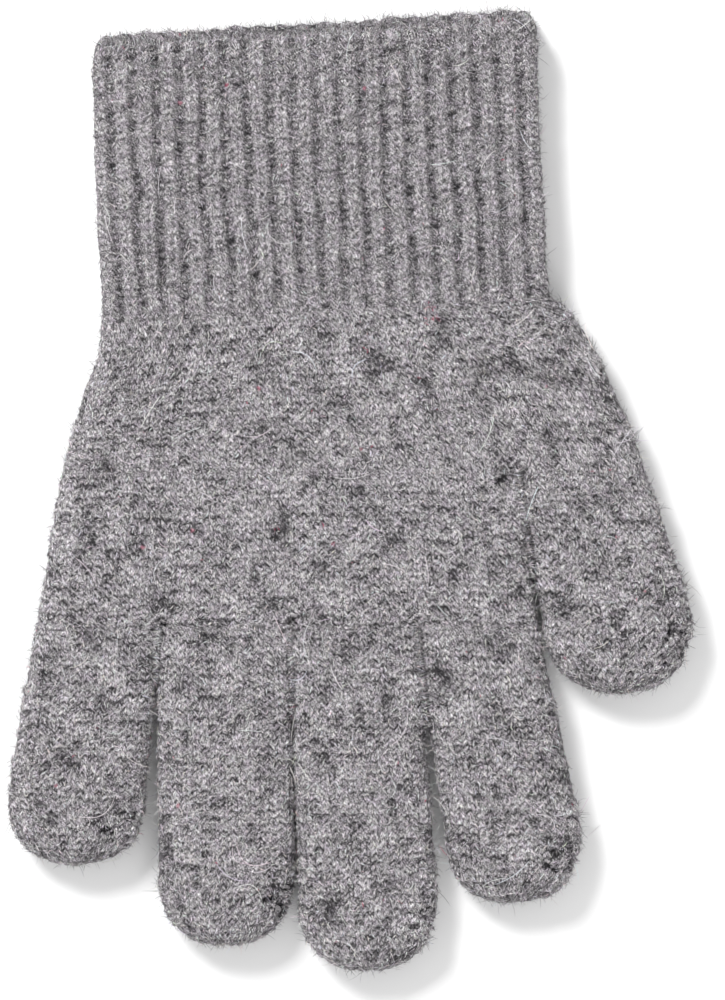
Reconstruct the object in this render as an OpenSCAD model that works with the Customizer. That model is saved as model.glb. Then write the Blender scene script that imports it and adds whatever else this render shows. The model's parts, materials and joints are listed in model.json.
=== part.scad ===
// Knitted wool glove, seamless, lying flat with its palm face down.
// Fingers run to -Y, the cuff to +Y, the thumb is on +X, +Z is up.
// The origin is on the surface it lies on, under the middle of its outline.
// The knit is built as the machine makes it: closed finger tubes, a palm
// section that gathers four fingers, one that adds the thumb, and a rib cuff.

/* [Fabric] */
// Height of the whole glove as it lies: two layers and the space inside
glove_t = 9; // [8:0.5:12]
// Thickness of one layer of knit
knit_t = 1.8; // [1.2:0.1:2.2]
// Space left where one section folds against the next
fold_gap = 0.3; // [0.2:0.05:0.6]
// Space between neighbouring fingers at their roots
finger_gap = 0.6; // [0.4:0.1:1.5]

/* [Palm] */
// Length from the finger row up to the row where the thumb leaves
lower_palm_l = 28; // [22:0.5:36]
// Width across four fingers at the thumb row
lower_palm_w = 81.4; // [68:0.5:95]
// How far the palm's thumb side steps in between the finger row and the thumb row
thumb_side_step = 4.1; // [2:0.1:7]
// Length from the thumb row up to the wrist line
upper_palm_l = 29.2; // [23:0.5:38]
// How far the thumb side swells out just below the wrist
mound_swell = 8.4; // [2:0.1:10]
// Distance of that swell below the wrist line
mound_drop = 10; // [6:0.5:14]

/* [Cuff] */
// Width of the cuff as it lies
cuff_w = 81; // [66:0.5:98]
// Length of the cuff from the wrist line to its mouth
cuff_l = 52; // [40:1:70]
// Tilt of the cuff and the wrist line, in degrees
cuff_turn = 3.5; // [0:0.5:6]
// Sideways place of the wrist over the finger row
wrist_shift = 7; // [3:0.5:9]
// Length of the doubled edge at the mouth
welt_l = 6; // [5:0.5:10]
// How far the upper layer stops short of the lower one at the mouth
mouth_setback = 4; // [0:0.5:5]
// Number of elastic rows laid into the rib
elastic_rows = 6; // [2:1:8]
// Distance from one elastic row to the next
elastic_pitch = 5; // [3:0.5:5.5]
// Width and depth of an elastic row
elastic_d = 0.8; // [0.5:0.1:1]

/* [Fingers] */
// Length of the little finger
little_l = 42; // [34:0.5:52]
// Width of the little finger at its root
little_root_w = 22; // [19:0.1:27]
// Width of the little finger near its tip
little_tip_w = 24.4; // [20:0.1:29]
// Space between the little fingertip and the ring finger beside it
little_tip_gap = 2.8; // [0.6:0.1:8]
// Distance of the little finger's fold from its root
little_fold = 18; // [14:0.5:22]
// Length of the ring finger
ring_l = 56.4; // [46:0.5:68]
// Width of the ring finger at its root
ring_root_w = 22.6; // [19:0.1:27]
// Width of the ring finger near its tip
ring_tip_w = 24.4; // [20:0.1:29]
// Lean of the ring finger towards the thumb, in degrees
ring_lean = 0.4; // [-4:0.1:2]
// Distance of the ring finger's fold from its root
ring_fold = 25; // [20:0.5:30]
// Length of the middle finger
middle_l = 61; // [50:0.5:73]
// Width of the middle finger at its root
middle_root_w = 22.4; // [19:0.1:27]
// Width of the middle finger near its tip
middle_tip_w = 24.7; // [20:0.1:29]
// Space between the ring fingertip and the middle finger beside it
middle_tip_gap = 0.8; // [0.6:0.1:5]
// Distance of the middle finger's fold from its root
middle_fold = 27; // [22:0.5:32]
// Length of the index finger
index_l = 48.8; // [40:0.5:60]
// Width of the index finger at its root
index_root_w = 21.4; // [19:0.1:26]
// Width of the index finger near its tip
index_tip_w = 24.4; // [20:0.1:29]
// Space between the index fingertip and the middle finger beside it
index_tip_gap = 2.5; // [0.6:0.1:8]
// Distance of the index finger's fold from its root
index_fold = 22; // [18:0.5:26]

/* [Thumb] */
// Length of the thumb
thumb_l = 39.2; // [32:0.5:46]
// Width of the thumb at its root
thumb_root_w = 22.8; // [20:0.1:27]
// Width of the thumb near its tip
thumb_tip_w = 27; // [22:0.1:30]
// Space between the tip of the thumb and the palm beside it
thumb_tip_gap = 1.3; // [0.6:0.1:8]
// Distance of the thumb's fold from its root
thumb_fold = 17; // [13:0.5:20]
// Space between the thumb's root and the palm beside it
thumb_gap = 0.8; // [0.5:0.1:2]

/* [Joins] */
// Diameter of the stitches that join two layers in a finger crotch
crotch_join_d = 2.4; // [1.5:0.1:3]
// Distance of a crotch join from the roots of its two fingers
crotch_join_in = 2.2; // [1.8:0.1:4]
// Diameter of the yarn that closes a fingertip
closing_yarn_d = 2; // [1:0.1:2.4]
// How far that yarn stands out of the tip's edge
closing_proud = 0.4; // [0.2:0.1:0.8]
// Turn of that yarn round the tip, in degrees
closing_turn = 50; // [25:5:80]

/* [Hidden] */

edge_r = glove_t / 2;
slice_t = 0.02;
run_past = 1;
slice_fn = 32;
tip_fn = 40;
yarn_fn = 24;
far = 400;

// The finger row lies along y = 0 before the outline is centred, from the
// little finger's outer edge at x = 0 to the index finger's.
little_x = little_root_w / 2;
ring_x = little_root_w + finger_gap + ring_root_w / 2;
middle_x = ring_x + ring_root_w / 2 + finger_gap + middle_root_w / 2;
index_x = middle_x + middle_root_w / 2 + finger_gap + index_root_w / 2;
finger_row_w = index_x + index_root_w / 2;

thumb_row_y = lower_palm_l;
lower_palm_x1 = finger_row_w - thumb_side_step;
lower_palm_x0 = lower_palm_x1 - lower_palm_w;
thumb_x = lower_palm_x1 + thumb_gap + thumb_root_w / 2;
upper_palm_x1 = thumb_x + thumb_root_w / 2;

wrist_x = finger_row_w / 2 + wrist_shift;
wrist_y = thumb_row_y + upper_palm_l;
cuff_y0 = fold_gap;
welt_y0 = cuff_l - welt_l;
elastic_y1 = welt_y0 - elastic_pitch / 2;

// One digit: root centre x, root y, root width, tip width, length, fold, tip centre x
function digit(x, y, root_w, tip_w, l, fold, at) = [x, y, root_w, tip_w, l, fold, at];
function tip_r(d) = d[3] / 2;
function tip_y(d) = d[1] - d[4] + tip_r(d);
function tip_x(d) = d[6];
function fold_y(d) = d[1] - d[5];
function level(tip_w, l) = tip_w / 2 - l;

// The side of a digit at a level, on its little-finger side (-1) or thumb side (1)
function side_x(d, side, y) =
    let (root_side = d[0] + side * d[2] / 2, tip_side = tip_x(d) + side * tip_r(d))
    root_side + (tip_side - root_side) * (d[1] - y) / (d[1] - tip_y(d));

// Centre of a tip that stands a gap off its neighbour's side, at the shorter one's tip
function beside(d, side, gap, x, root_w, tip_w, l) =
    let (tip = level(tip_w, l), y = max(tip, tip_y(d)), root_side = x - side * root_w / 2)
    root_side + (side_x(d, side, y) + side * gap - root_side) * tip / y + side * tip_w / 2;

ring = digit(ring_x, 0, ring_root_w, ring_tip_w, ring_l, ring_fold,
    ring_x - level(ring_tip_w, ring_l) * tan(ring_lean));
little = digit(little_x, 0, little_root_w, little_tip_w, little_l, little_fold,
    beside(ring, -1, little_tip_gap, little_x, little_root_w, little_tip_w, little_l));
middle = digit(middle_x, 0, middle_root_w, middle_tip_w, middle_l, middle_fold,
    beside(ring, 1, middle_tip_gap, middle_x, middle_root_w, middle_tip_w, middle_l));
index = digit(index_x, 0, index_root_w, index_tip_w, index_l, index_fold,
    beside(middle, 1, index_tip_gap, index_x, index_root_w, index_tip_w, index_l));

// The thumb's tip stands off the palm, or off the index finger where it reaches past the row
thumb_tip_y = thumb_row_y + level(thumb_tip_w, thumb_l);
beside_thumb_x = thumb_tip_y > 0
    ? finger_row_w - thumb_side_step * thumb_tip_y / thumb_row_y
    : side_x(index, 1, thumb_tip_y);
thumb = digit(thumb_x, thumb_row_y, thumb_root_w, thumb_tip_w, thumb_l, thumb_fold,
    beside_thumb_x + thumb_tip_gap + thumb_tip_w / 2);

// The middle of the outline goes to the origin
outline_x0 = tip_x(little) - tip_r(little);
outline_x1 = tip_x(thumb) + tip_r(thumb) + closing_proud;
outline_y0 = middle[1] - middle[4];
outline_y1 = wrist_y + cuff_l * cos(cuff_turn) + (cuff_w / 2 - edge_r) * sin(cuff_turn);
middle_of_outline = [(outline_x0 + outline_x1) / 2, (outline_y0 + outline_y1) / 2, 0];

wool = [0.58, 0.565, 0.575];
wool_rib = [0.55, 0.54, 0.55];
wool_yarn = [0.42, 0.41, 0.43];
elastic_white = [0.86, 0.85, 0.82];

module centred() translate(-middle_of_outline) children();

module at_wrist() translate([wrist_x, wrist_y, 0]) rotate([0, 0, cuff_turn]) children();

// A flat oval slice across the glove from x0 to x1, from y down to y - slice_t
module slice(x0, x1, y, inset = 0)
    for (x = [x0 + edge_r, x1 - edge_r])
        translate([x, y, edge_r])
            rotate([90, 0, 0])
                cylinder(r = edge_r - inset, h = slice_t, $fn = slice_fn);

// A round, flat pad with a full round edge
module round_pad(x, y, r, inset = 0)
    translate([x, y, edge_r])
        rotate_extrude($fn = tip_fn)
            intersection() {
                union() {
                    translate([r - edge_r, 0]) circle(r = edge_r - inset, $fn = slice_fn);
                    translate([0, inset - edge_r]) square([r - edge_r, 2 * (edge_r - inset)]);
                }
                translate([0, -glove_t]) square([far, 2 * glove_t]);
            }

// The space between two levels of y
module band(y0, y1) translate([-far / 2, y0, -far / 2]) cube([far, y1 - y0, far]);

// One whole digit, root to tip; the inset one runs past the root to open it
module digit_form(d, inset, past)
    hull() {
        slice(d[0] - d[2] / 2, d[0] + d[2] / 2, d[1] + past, inset);
        round_pad(tip_x(d), tip_y(d), tip_r(d), inset);
    }

module digit_knit(d)
    difference() {
        digit_form(d, 0, 0);
        digit_form(d, knit_t, run_past);
    }

module closing_yarn(d)
    translate([tip_x(d), tip_y(d), edge_r])
        rotate([0, 0, -closing_turn])
            rotate_extrude(angle = closing_turn, $fn = tip_fn)
                translate([tip_r(d) + closing_proud - closing_yarn_d / 2, 0])
                    circle(d = closing_yarn_d, $fn = yarn_fn);

module finger_tube(d)
    color(wool) centred() intersection() {
        digit_knit(d);
        band(fold_y(d), d[1] - fold_gap);
    }

module fingertip(d)
    color(wool) centred() difference() {
        intersection() {
            digit_knit(d);
            band(fold_y(d) - far, fold_y(d) - fold_gap);
        }
        closing_yarn(d);
    }

module tip_closure(d) color(wool_yarn) centred() closing_yarn(d);

// Four fingers wide, from the finger row up to the thumb row
module lower_palm_form(inset, past)
    hull() {
        slice(0, finger_row_w, slice_t - past, inset);
        slice(lower_palm_x0, lower_palm_x1, thumb_row_y + past, inset);
    }

module four_finger_palm()
    color(wool) centred() difference() {
        lower_palm_form(0, 0);
        lower_palm_form(knit_t, run_past);
    }

// Thumb and fingers together, from the thumb row up to the tilted wrist line
module upper_palm_form(inset, past)
    hull() {
        slice(lower_palm_x0, upper_palm_x1, thumb_row_y + slice_t - past, inset);
        at_wrist() {
            slice(-cuff_w / 2, cuff_w / 2 + mound_swell, -mound_drop, inset);
            slice(-cuff_w / 2, cuff_w / 2, past, inset);
        }
    }

module five_finger_palm()
    color(wool) centred() difference() {
        upper_palm_form(0, 0);
        upper_palm_form(knit_t, run_past);
    }

// Stitches from the lower layer to the upper one, between two roots
module crotch_join(x, root_y)
    color(wool_yarn) centred()
        translate([x, root_y + crotch_join_in, knit_t])
            cylinder(d = crotch_join_d, h = glove_t - 2 * knit_t, $fn = yarn_fn);

module oval(inset)
    union() {
        for (side = [-1, 1])
            translate([side * (cuff_w / 2 - edge_r), 0]) circle(r = edge_r - inset, $fn = slice_fn);
        square([cuff_w - glove_t, 2 * (edge_r - inset)], center = true);
    }

// A length of cuff between two distances from the wrist line
module cuff_length(y0, y1, inset)
    translate([0, y1, edge_r]) rotate([90, 0, 0]) linear_extrude(y1 - y0) oval(inset);

module elastic_row(i) {
    y = elastic_y1 - i * elastic_pitch;
    difference() {
        cuff_length(y - elastic_d, y, knit_t - elastic_d);
        cuff_length(y - elastic_d - run_past, y + run_past, knit_t);
    }
}

module elastic_all() for (i = [0 : elastic_rows - 1]) elastic_row(i);

module cuff_rib()
    color(wool_rib) centred() at_wrist() difference() {
        cuff_length(cuff_y0, welt_y0, 0);
        cuff_length(cuff_y0 - run_past, welt_y0 + run_past, knit_t);
        elastic_all();
    }

module cuff_elastic() color(elastic_white) centred() at_wrist() elastic_all();

// The mouth is cut on a slope, so the upper layer is the shorter one
module cuff_welt()
    color(wool_rib) centred() at_wrist() difference() {
        cuff_length(welt_y0, cuff_l, 0);
        cuff_length(welt_y0 - run_past, cuff_l + run_past, knit_t);
        translate([-far / 2, cuff_l, 0])
            rotate([atan(mouth_setback / glove_t), 0, 0])
                translate([0, 0, -far / 2]) cube([far, far, far]);
    }

four_finger_palm();
five_finger_palm();
crotch_join(index_x - (index_root_w + finger_gap) / 2, 0);  // index_middle_crotch_join
crotch_join(middle_x - (middle_root_w + finger_gap) / 2, 0);  // middle_ring_crotch_join
crotch_join(ring_x - (ring_root_w + finger_gap) / 2, 0);  // ring_little_crotch_join
crotch_join(lower_palm_x1 + thumb_gap / 2, thumb_row_y);  // thumb_crotch_join
cuff_rib();
cuff_welt();
cuff_elastic();
finger_tube(index);  // index_finger_tube
fingertip(index);  // index_fingertip
tip_closure(index);  // index_tip_closure
finger_tube(middle);  // middle_finger_tube
fingertip(middle);  // middle_fingertip
tip_closure(middle);  // middle_tip_closure
finger_tube(ring);  // ring_finger_tube
fingertip(ring);  // ring_fingertip
tip_closure(ring);  // ring_tip_closure
finger_tube(little);  // little_finger_tube
fingertip(little);  // little_fingertip
tip_closure(little);  // little_tip_closure
finger_tube(thumb);  // thumb_tube
fingertip(thumb);  // thumb_tip
tip_closure(thumb);  // thumb_tip_closure
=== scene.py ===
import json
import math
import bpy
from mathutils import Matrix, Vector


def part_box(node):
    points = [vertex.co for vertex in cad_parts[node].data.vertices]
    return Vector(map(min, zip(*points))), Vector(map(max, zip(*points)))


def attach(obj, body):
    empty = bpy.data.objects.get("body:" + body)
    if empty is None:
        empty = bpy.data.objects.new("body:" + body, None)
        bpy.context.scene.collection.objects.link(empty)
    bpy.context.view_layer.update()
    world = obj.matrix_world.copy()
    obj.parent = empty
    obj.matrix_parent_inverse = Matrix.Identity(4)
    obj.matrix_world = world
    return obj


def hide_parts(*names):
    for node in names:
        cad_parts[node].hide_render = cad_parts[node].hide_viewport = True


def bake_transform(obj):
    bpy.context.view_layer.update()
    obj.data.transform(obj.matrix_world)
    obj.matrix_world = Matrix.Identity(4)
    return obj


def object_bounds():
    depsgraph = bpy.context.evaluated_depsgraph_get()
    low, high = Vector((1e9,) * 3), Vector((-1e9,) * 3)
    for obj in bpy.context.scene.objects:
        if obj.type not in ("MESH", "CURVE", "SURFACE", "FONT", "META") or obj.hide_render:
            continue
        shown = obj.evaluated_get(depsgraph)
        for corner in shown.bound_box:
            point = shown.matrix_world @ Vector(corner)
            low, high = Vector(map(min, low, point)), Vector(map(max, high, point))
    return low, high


bl_info = {
    "name": "Knitted wool glove",
    "version": (1, 0, 0),
    "blender": (4, 5, 0),
    "location": "View3D > Sidebar > Glove",
    "description": "Builds a felted heather wool glove with real stitches round its packed frame",
    "category": "Add Mesh",
}

import bmesh
import bpy
import numpy as np
from bpy.props import EnumProperty, FloatProperty, FloatVectorProperty, IntProperty, PointerProperty

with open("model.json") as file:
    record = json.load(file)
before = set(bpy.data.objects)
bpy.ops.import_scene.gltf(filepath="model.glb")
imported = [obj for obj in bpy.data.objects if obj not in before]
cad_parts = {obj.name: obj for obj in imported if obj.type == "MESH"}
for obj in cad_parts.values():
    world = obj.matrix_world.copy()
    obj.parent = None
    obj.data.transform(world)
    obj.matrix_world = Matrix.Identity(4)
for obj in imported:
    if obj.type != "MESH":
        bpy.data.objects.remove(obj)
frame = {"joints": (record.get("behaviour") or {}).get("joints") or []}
cad_low, cad_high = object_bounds()

MM = 0.001
JOINTS = {j["name"]: j for j in frame["joints"]}
FINGERS = ("little", "ring", "middle", "index")
DIGITS = FINGERS + ("thumb",)
CROTCHES = ("index_middle", "middle_ring", "ring_little", "thumb")
# Seeds of everything that is drawn at random
SEEDS = {
    "wander": 901, "drift": 902, "stitches": 903, "felting": 904, "grain": 905, "swell": 906,
    "patches": 911, "specks": 912, "pits": 31, "crotches": 5, "tips": 40, "digits": 100,
    "lower_palm": 27, "upper_palm": 37, "rib": 60, "rib_fuzz": 67, "mouth_edge": 71,
    "mouth_fuzz": 77, "mouth_hairs": 79,
}


# ---------------------------------------------------------------- places from the frame


def mm(values):
    """A point of the frame in millimetres."""
    return np.array([v / MM for v in values], float)


def box_mm(node):
    low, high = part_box(node)
    return mm(low), mm(high)


def tube_node(digit):
    return "thumb_tube" if digit == "thumb" else f"{digit}_finger_tube"


def tip_node(digit):
    return "thumb_tip" if digit == "thumb" else f"{digit}_fingertip"


def digit_plan(digit):
    """Root, fold and round tip of a digit, as its tube, its tip and its hinges give them."""
    root = mm(JOINTS[f"{digit}_root_bend"]["pos_m"])
    fold = mm(JOINTS[f"{digit}_middle_bend"]["pos_m"])
    slope = (fold[0] - root[0]) / (fold[1] - root[1])
    tube_low, tube_high = box_mm(tube_node(digit))
    tip_low, tip_high = box_mm(tip_node(digit))
    half = min(root[0] - tube_low[0], tube_high[0] - root[0])
    axis_at_end = root[0] + slope * (tip_low[1] - root[1])
    if slope > 0:
        radius = (axis_at_end - tip_low[0]) / (1 - slope)
    else:
        radius = (tip_high[0] - axis_at_end) / (1 + slope)
    tip_y = tip_low[1] + radius
    tip_x = root[0] + slope * (tip_y - root[1])
    return {
        "root": root,
        "fold": fold,
        "half": half,
        "radius": radius,
        "tip": np.array([tip_x, tip_y]),
    }


PLAN = {digit: digit_plan(digit) for digit in DIGITS}
WRIST = mm(JOINTS["wrist_bend"]["pos_m"])
WRIST_LINE = np.array(JOINTS["wrist_bend"]["axis"][:2])
WRIST_LINE = WRIST_LINE * np.sign(WRIST_LINE[0])
CUFF_WAY = np.array([-WRIST_LINE[1], WRIST_LINE[0]])
PALM_LOW, PALM_HIGH = box_mm("four_finger_palm")
UPPER_LOW, UPPER_HIGH = box_mm("five_finger_palm")
GLOVE_HEIGHT = (cad_high.z - cad_low.z) / MM
FINGER_ROW = PLAN["middle"]["root"][1]
THUMB_ROW = PLAN["thumb"]["root"][1]


# ---------------------------------------------------------------- settings


class KnitSettings(bpy.types.PropertyGroup):
    hand_wales: IntProperty(
        name="Hand wales", description="Columns of stitches across hand and thumb", default=64
    )
    palm_wales: IntProperty(
        name="Palm wales", description="Columns of stitches across four fingers", default=50
    )
    finger_wales: IntProperty(
        name="Finger wales", description="Columns of stitches across one finger", default=15
    )
    thumb_wales: IntProperty(
        name="Thumb wales", description="Columns of stitches across the thumb", default=16
    )
    wale: FloatProperty(
        name="Wale", description="Width of one column of stitches, in millimetres", default=1.77
    )
    course: FloatProperty(
        name="Course", description="Height of one row of stitches, in millimetres", default=1.3
    )
    rib: FloatProperty(
        name="Rib", description="Width of one rib and its valley, in millimetres", default=4.3
    )
    rib_course: FloatProperty(
        name="Rib course", description="Height of one row in the rib, in millimetres", default=1.5
    )
    relief: FloatProperty(
        name="Stitch relief", description="How far a stitch stands up, in millimetres", default=0.5
    )
    rib_relief: FloatProperty(
        name="Rib relief", description="How far a rib stands up, in millimetres", default=0.65
    )
    layer: FloatProperty(
        name="Layer", description="Thickness of one layer of knit, in millimetres", default=1.6
    )
    rim: FloatProperty(
        name="Edge roundness", description="Width of the rounded edge, in millimetres", default=4.0
    )
    clear: FloatProperty(
        name="Floor clearance", description="Height of the under layer, in millimetres", default=0.4
    )


class CuffSettings(bpy.types.PropertyGroup):
    width: FloatProperty(
        name="Cuff width", description="Width of the cuff as it lies, in millimetres", default=81.0
    )
    length: FloatProperty(
        name="Cuff length", description="Wrist line to mouth, in millimetres", default=52.0
    )
    welt: FloatProperty(
        name="Welt", description="Length of the doubled edge, in millimetres", default=6.0
    )
    setback: FloatProperty(
        name="Mouth setback", description="Upper layer's shortfall at the mouth, in mm", default=4.0
    )
    elastic_rows: IntProperty(
        name="Elastic rows", description="Rows of elastic laid inside the rib", default=6
    )
    elastic_pitch: FloatProperty(
        name="Elastic pitch", description="Distance between elastic rows, in mm", default=5.0
    )


class FuzzSettings(bpy.types.PropertyGroup):
    felt: FloatProperty(
        name="Felt density", description="Felted fibres on a square millimetre", default=5.4
    )
    felt_length: FloatProperty(
        name="Felt length", description="Usual length of a felted fibre, in mm", default=1.15
    )
    felt_radius: FloatProperty(
        name="Felt radius", description="Radius of a felted tuft of fibre, in mm", default=0.068
    )
    halo: FloatProperty(
        name="Halo density", description="Standing fibres on a square millimetre", default=0.36
    )
    halo_length: FloatProperty(
        name="Halo length", description="Usual length of a standing fibre, in mm", default=1.2
    )
    halo_radius: FloatProperty(
        name="Halo radius", description="Radius of a standing fibre, in mm", default=0.036
    )
    hairs: FloatProperty(
        name="Guard hairs", description="Long pale hairs on a square centimetre", default=0.7
    )


class WoolColours(bpy.types.PropertyGroup):
    pale: FloatVectorProperty(
        name="Pale wool", description="Palest fibre", subtype="COLOR", size=3,
        default=(0.90, 0.875, 0.89),
    )
    middle: FloatVectorProperty(
        name="Grey wool", description="Usual fibre", subtype="COLOR", size=3,
        default=(0.275, 0.260, 0.272),
    )
    dark: FloatVectorProperty(
        name="Dark wool", description="Darkest fibre", subtype="COLOR", size=3,
        default=(0.020, 0.018, 0.021),
    )
    fleck: FloatVectorProperty(
        name="Fleck", description="Stray dyed fibre", subtype="COLOR", size=3,
        default=(0.55, 0.07, 0.16),
    )
    elastic: FloatVectorProperty(
        name="Elastic", description="Covered elastic thread", subtype="COLOR", size=3,
        default=(0.72, 0.70, 0.66),
    )


def settings():
    return bpy.context.scene.glove


class GloveSettings(bpy.types.PropertyGroup):
    knit: PointerProperty(type=KnitSettings, name="Knit", description="Stitch sizes")
    cuff: PointerProperty(type=CuffSettings, name="Cuff", description="Cuff sizes")
    fuzz: PointerProperty(type=FuzzSettings, name="Fuzz", description="Loose fibres")
    colours: PointerProperty(type=WoolColours, name="Colours", description="Wool colours")


# ---------------------------------------------------------------- shapes of knitted tubes

COLUMNS_PER_WALE = 5
ROWS_PER_COURSE = 5
# How square the rounded edge is: 2 is a plain ellipse
EDGE_POWER = 2.6
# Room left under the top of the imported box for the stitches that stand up
TOP_GAP = 0.4


def smooth(t):
    """A soft step from 0 to 1."""
    t = np.clip(t, 0.0, 1.0)
    return t * t * (3 - 2 * t)


def edge_round(inside):
    """Share of the full height at a distance inside the outline."""
    t = 1 - np.clip(inside / settings().knit.rim, 0.0, 1.0)
    return np.maximum(1 - t**EDGE_POWER, 0.0) ** (1 / EDGE_POWER)


def profile(x, left, right, floors=(0.0, 0.0)):
    """Height of one layer across a slice; a floor holds it up where it leans on its neighbour."""
    at_left = floors[0] + (1 - floors[0]) * edge_round(x - left)
    at_right = floors[1] + (1 - floors[1]) * edge_round(right - x)
    return np.minimum(at_left, at_right)


def half_ring(left, right, height, count):
    """Evenly spaced points over one layer, from the left edge to the right one.
    height(x) gives the layer's height over the middle of the glove."""
    turn = np.linspace(0, math.pi, 10 * max(4, int(right - left)) + 60)
    x = (left + right) / 2 - (right - left) / 2 * np.cos(turn)
    z = height(x)
    run = np.concatenate([[0], np.cumsum(np.hypot(np.diff(x), np.diff(z)))])
    if run[-1] < 1e-9:
        return np.full(count + 1, x[0]), np.full(count + 1, z[0])
    even = np.linspace(0, run[-1], count + 1)
    return np.interp(even, run, x), np.interp(even, run, z)


def middle_height():
    """Height of the plane between the two layers, in millimetres."""
    return (GLOVE_HEIGHT - TOP_GAP) / 2


def ring(left, right, height, count, inset=0.0, cover=None):
    """A whole slice: over the top from the left edge, back underneath to where it began.
    A cover lowers the slice without moving its columns sideways."""
    knit = settings().knit
    middle = middle_height()
    crown = middle - knit.relief * 0.6 - inset
    under = middle - knit.clear - inset
    x, z = half_ring(left, right, height, count)
    if cover is not None:
        z = cover(x, z)
    top = np.stack([x, middle + crown * z], 1)
    bottom = np.stack([x[::-1], middle - under * z[::-1]], 1)
    whole = np.concatenate([top, bottom[1:]])
    whole[-1] = whole[0]
    return whole


def soft_waves(points, size, seed, count=9):
    """A gentle, seeded unevenness between about -1 and 1, with waves of about that size."""
    rng = np.random.default_rng(seed)
    total = np.zeros(points.shape[:-1])
    for _ in range(count):
        way = rng.normal(size=2)
        way /= np.linalg.norm(way)
        k = 2 * math.pi / (size * rng.uniform(0.7, 1.6))
        total += np.sin(k * (points[..., :2] @ way) + rng.uniform(0, 2 * math.pi))
    return total / math.sqrt(count)


def outward(points):
    """Unit normals of a surface of rows that run towards the fingertips."""
    across = np.gradient(points, axis=1)
    across[:, 0] = across[:, -1] = points[:, 1] - points[:, -2]
    along = np.gradient(points, axis=0)
    n = np.cross(along, across)
    size = np.linalg.norm(n, axis=2, keepdims=True)
    return n / np.maximum(size, 1e-9)


def stitch_height(wale, course, seed):
    """Plain knit: two legs that spread from the middle of a wale towards the fingertips."""
    rng = np.random.default_rng(seed)
    table = rng.random((64, 64))
    w, c = np.floor(wale).astype(int), np.floor(course).astype(int)
    chance = table[c % 64, w % 64]
    a = np.abs(wale - np.floor(wale) - 0.5) * 2
    phase = (course - 0.75 * a) % 1.0
    leg = np.sin(math.pi * phase) ** 0.7
    fill = np.sin(math.pi * np.clip(0.08 + 0.84 * a, 0, 1)) ** 0.6
    return leg * fill * (0.55 + 0.65 * chance) + 0.25 * (chance - 0.5)


def rib_height(rib, course, seed):
    """Rib: one plain wale that stands up, then a valley of purl loops."""
    r = rib - np.floor(rib)
    stand = smooth((0.5 - np.abs(r - 0.5) - 0.10) / 0.16)
    wale = np.clip((r - 0.21) / 0.58, 0, 0.9999) + np.floor(rib)
    legs = stitch_height(wale, course, seed)
    purl = 0.5 + 0.5 * np.cos(2 * math.pi * (course + 0.5))
    return stand, stand * legs + (1 - stand) * purl * 0.35


def run_of_rows(points):
    """Length along the surface at each row, measured down the middle of the top layer."""
    middle = points[:, points.shape[1] // 4]
    steps = np.linalg.norm(np.diff(middle, axis=0), axis=1)
    return np.concatenate([[0], np.cumsum(steps)])


def row_course(points):
    """Courses counted down the hand, so that they run on from one section to the next."""
    first = points[0, points.shape[1] // 4, 1]
    return (run_of_rows(points) - first) / settings().knit.course


def own_wales(columns, wales):
    """Wales at each column of a closed row, counted round both layers."""
    return np.linspace(0, 2 * wales, columns)


def carried_wales(row, wales, parent_row, parent_wales, x):
    """Wales of a section that carry on those of its parent at x, on both layers."""
    own = own_wales(len(row), wales)
    half, parent_half = len(row) // 2, len(parent_row) // 2
    offsets = []
    layers = (
        (slice(0, half + 1), slice(0, parent_half + 1)),
        (slice(half, None), slice(parent_half, None)),
    )
    for a, b in layers:
        order = 1 if a.start == 0 else -1
        here = np.interp(x, row[a, 0][::order], own[a][::order])
        there = np.interp(x, parent_row[b, 0][::order], parent_wales[b][::order])
        offsets.append(there - here)
    top, under = offsets
    under = top + (under - top + 0.5) % 1.0 - 0.5
    at = own / (2 * wales)
    spread = 1.5 / wales
    share = np.interp(at, [0, spread, 0.5 - spread, 0.5 + spread, 1 - spread, 1], [0.5, 0, 0, 1, 1, 0.5])
    return own + top + (under - top) * share


def knit_surface(points, wale_row, fade=None):
    """Raises plain stitches on a smooth surface. Returns points, normals, knit map and relief."""
    knit = settings().knit
    rows, columns = points.shape[:2]
    course = row_course(points)[:, None] * np.ones(columns)
    wale = wale_row[None] * np.ones((rows, 1))
    wander = 0.14 * soft_waves(points, 17, SEEDS["wander"])
    drift = 0.45 * soft_waves(points, 23, SEEDS["drift"])
    h = stitch_height(wale + wander, course + drift, SEEDS["stitches"])
    felt = 0.85 + 0.25 * soft_waves(points, 9, SEEDS["felting"])
    grain = np.random.default_rng(SEEDS["grain"]).normal(size=h.shape) * 0.03
    grain[:, -1] = grain[:, 0]
    lift = h * felt + grain - 0.35
    if fade is not None:
        lift = lift * fade
    n = outward(points)
    raised = points + n * (knit.relief * lift)[..., None]
    raised[:, -1] = raised[:, 0]
    # The relief, lowered further in the pits, sets the painted shade of the wool: low places and pits come
    # out darker
    return raised, n, np.stack([wale, course], 2), np.clip(lift + 0.35 - 0.55 * pits(points), 0, 1)


# Width of the shallow line where two sections meet, and the rise of the under layer
SEAM = 0.55
FLOOR_GAP = 0.4


def rise_and_fall(points, most=0.3, with_pits=True):
    """Soft unevenness of the upper layer; the lower one is raised a little, clear of the floor."""
    middle = middle_height()
    share = smooth((points[..., 2] - middle) / middle)
    lifted = points.copy()
    lifted[..., 2] += most * share * soft_waves(points, 26, SEEDS["swell"]) - most * 0.5 * share
    if with_pits:
        lifted[..., 2] += FLOOR_GAP * smooth((middle - points[..., 2]) / middle)
    n = outward(lifted)
    far = np.min([np.linalg.norm(lifted - c, axis=2) for c, _, _ in crotch_puckers()], axis=0)
    n[..., :2] *= smooth(far / 6)[..., None]
    for centre, reach, depth in crotch_puckers():
        lifted = pucker(lifted, n, centre, reach, depth)
    if with_pits:
        lifted = lifted - n * pits(lifted)[..., None]
    lifted[:, -1] = lifted[:, 0]
    return lifted


# ---------------------------------------------------------------- meshes from rows of points


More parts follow.
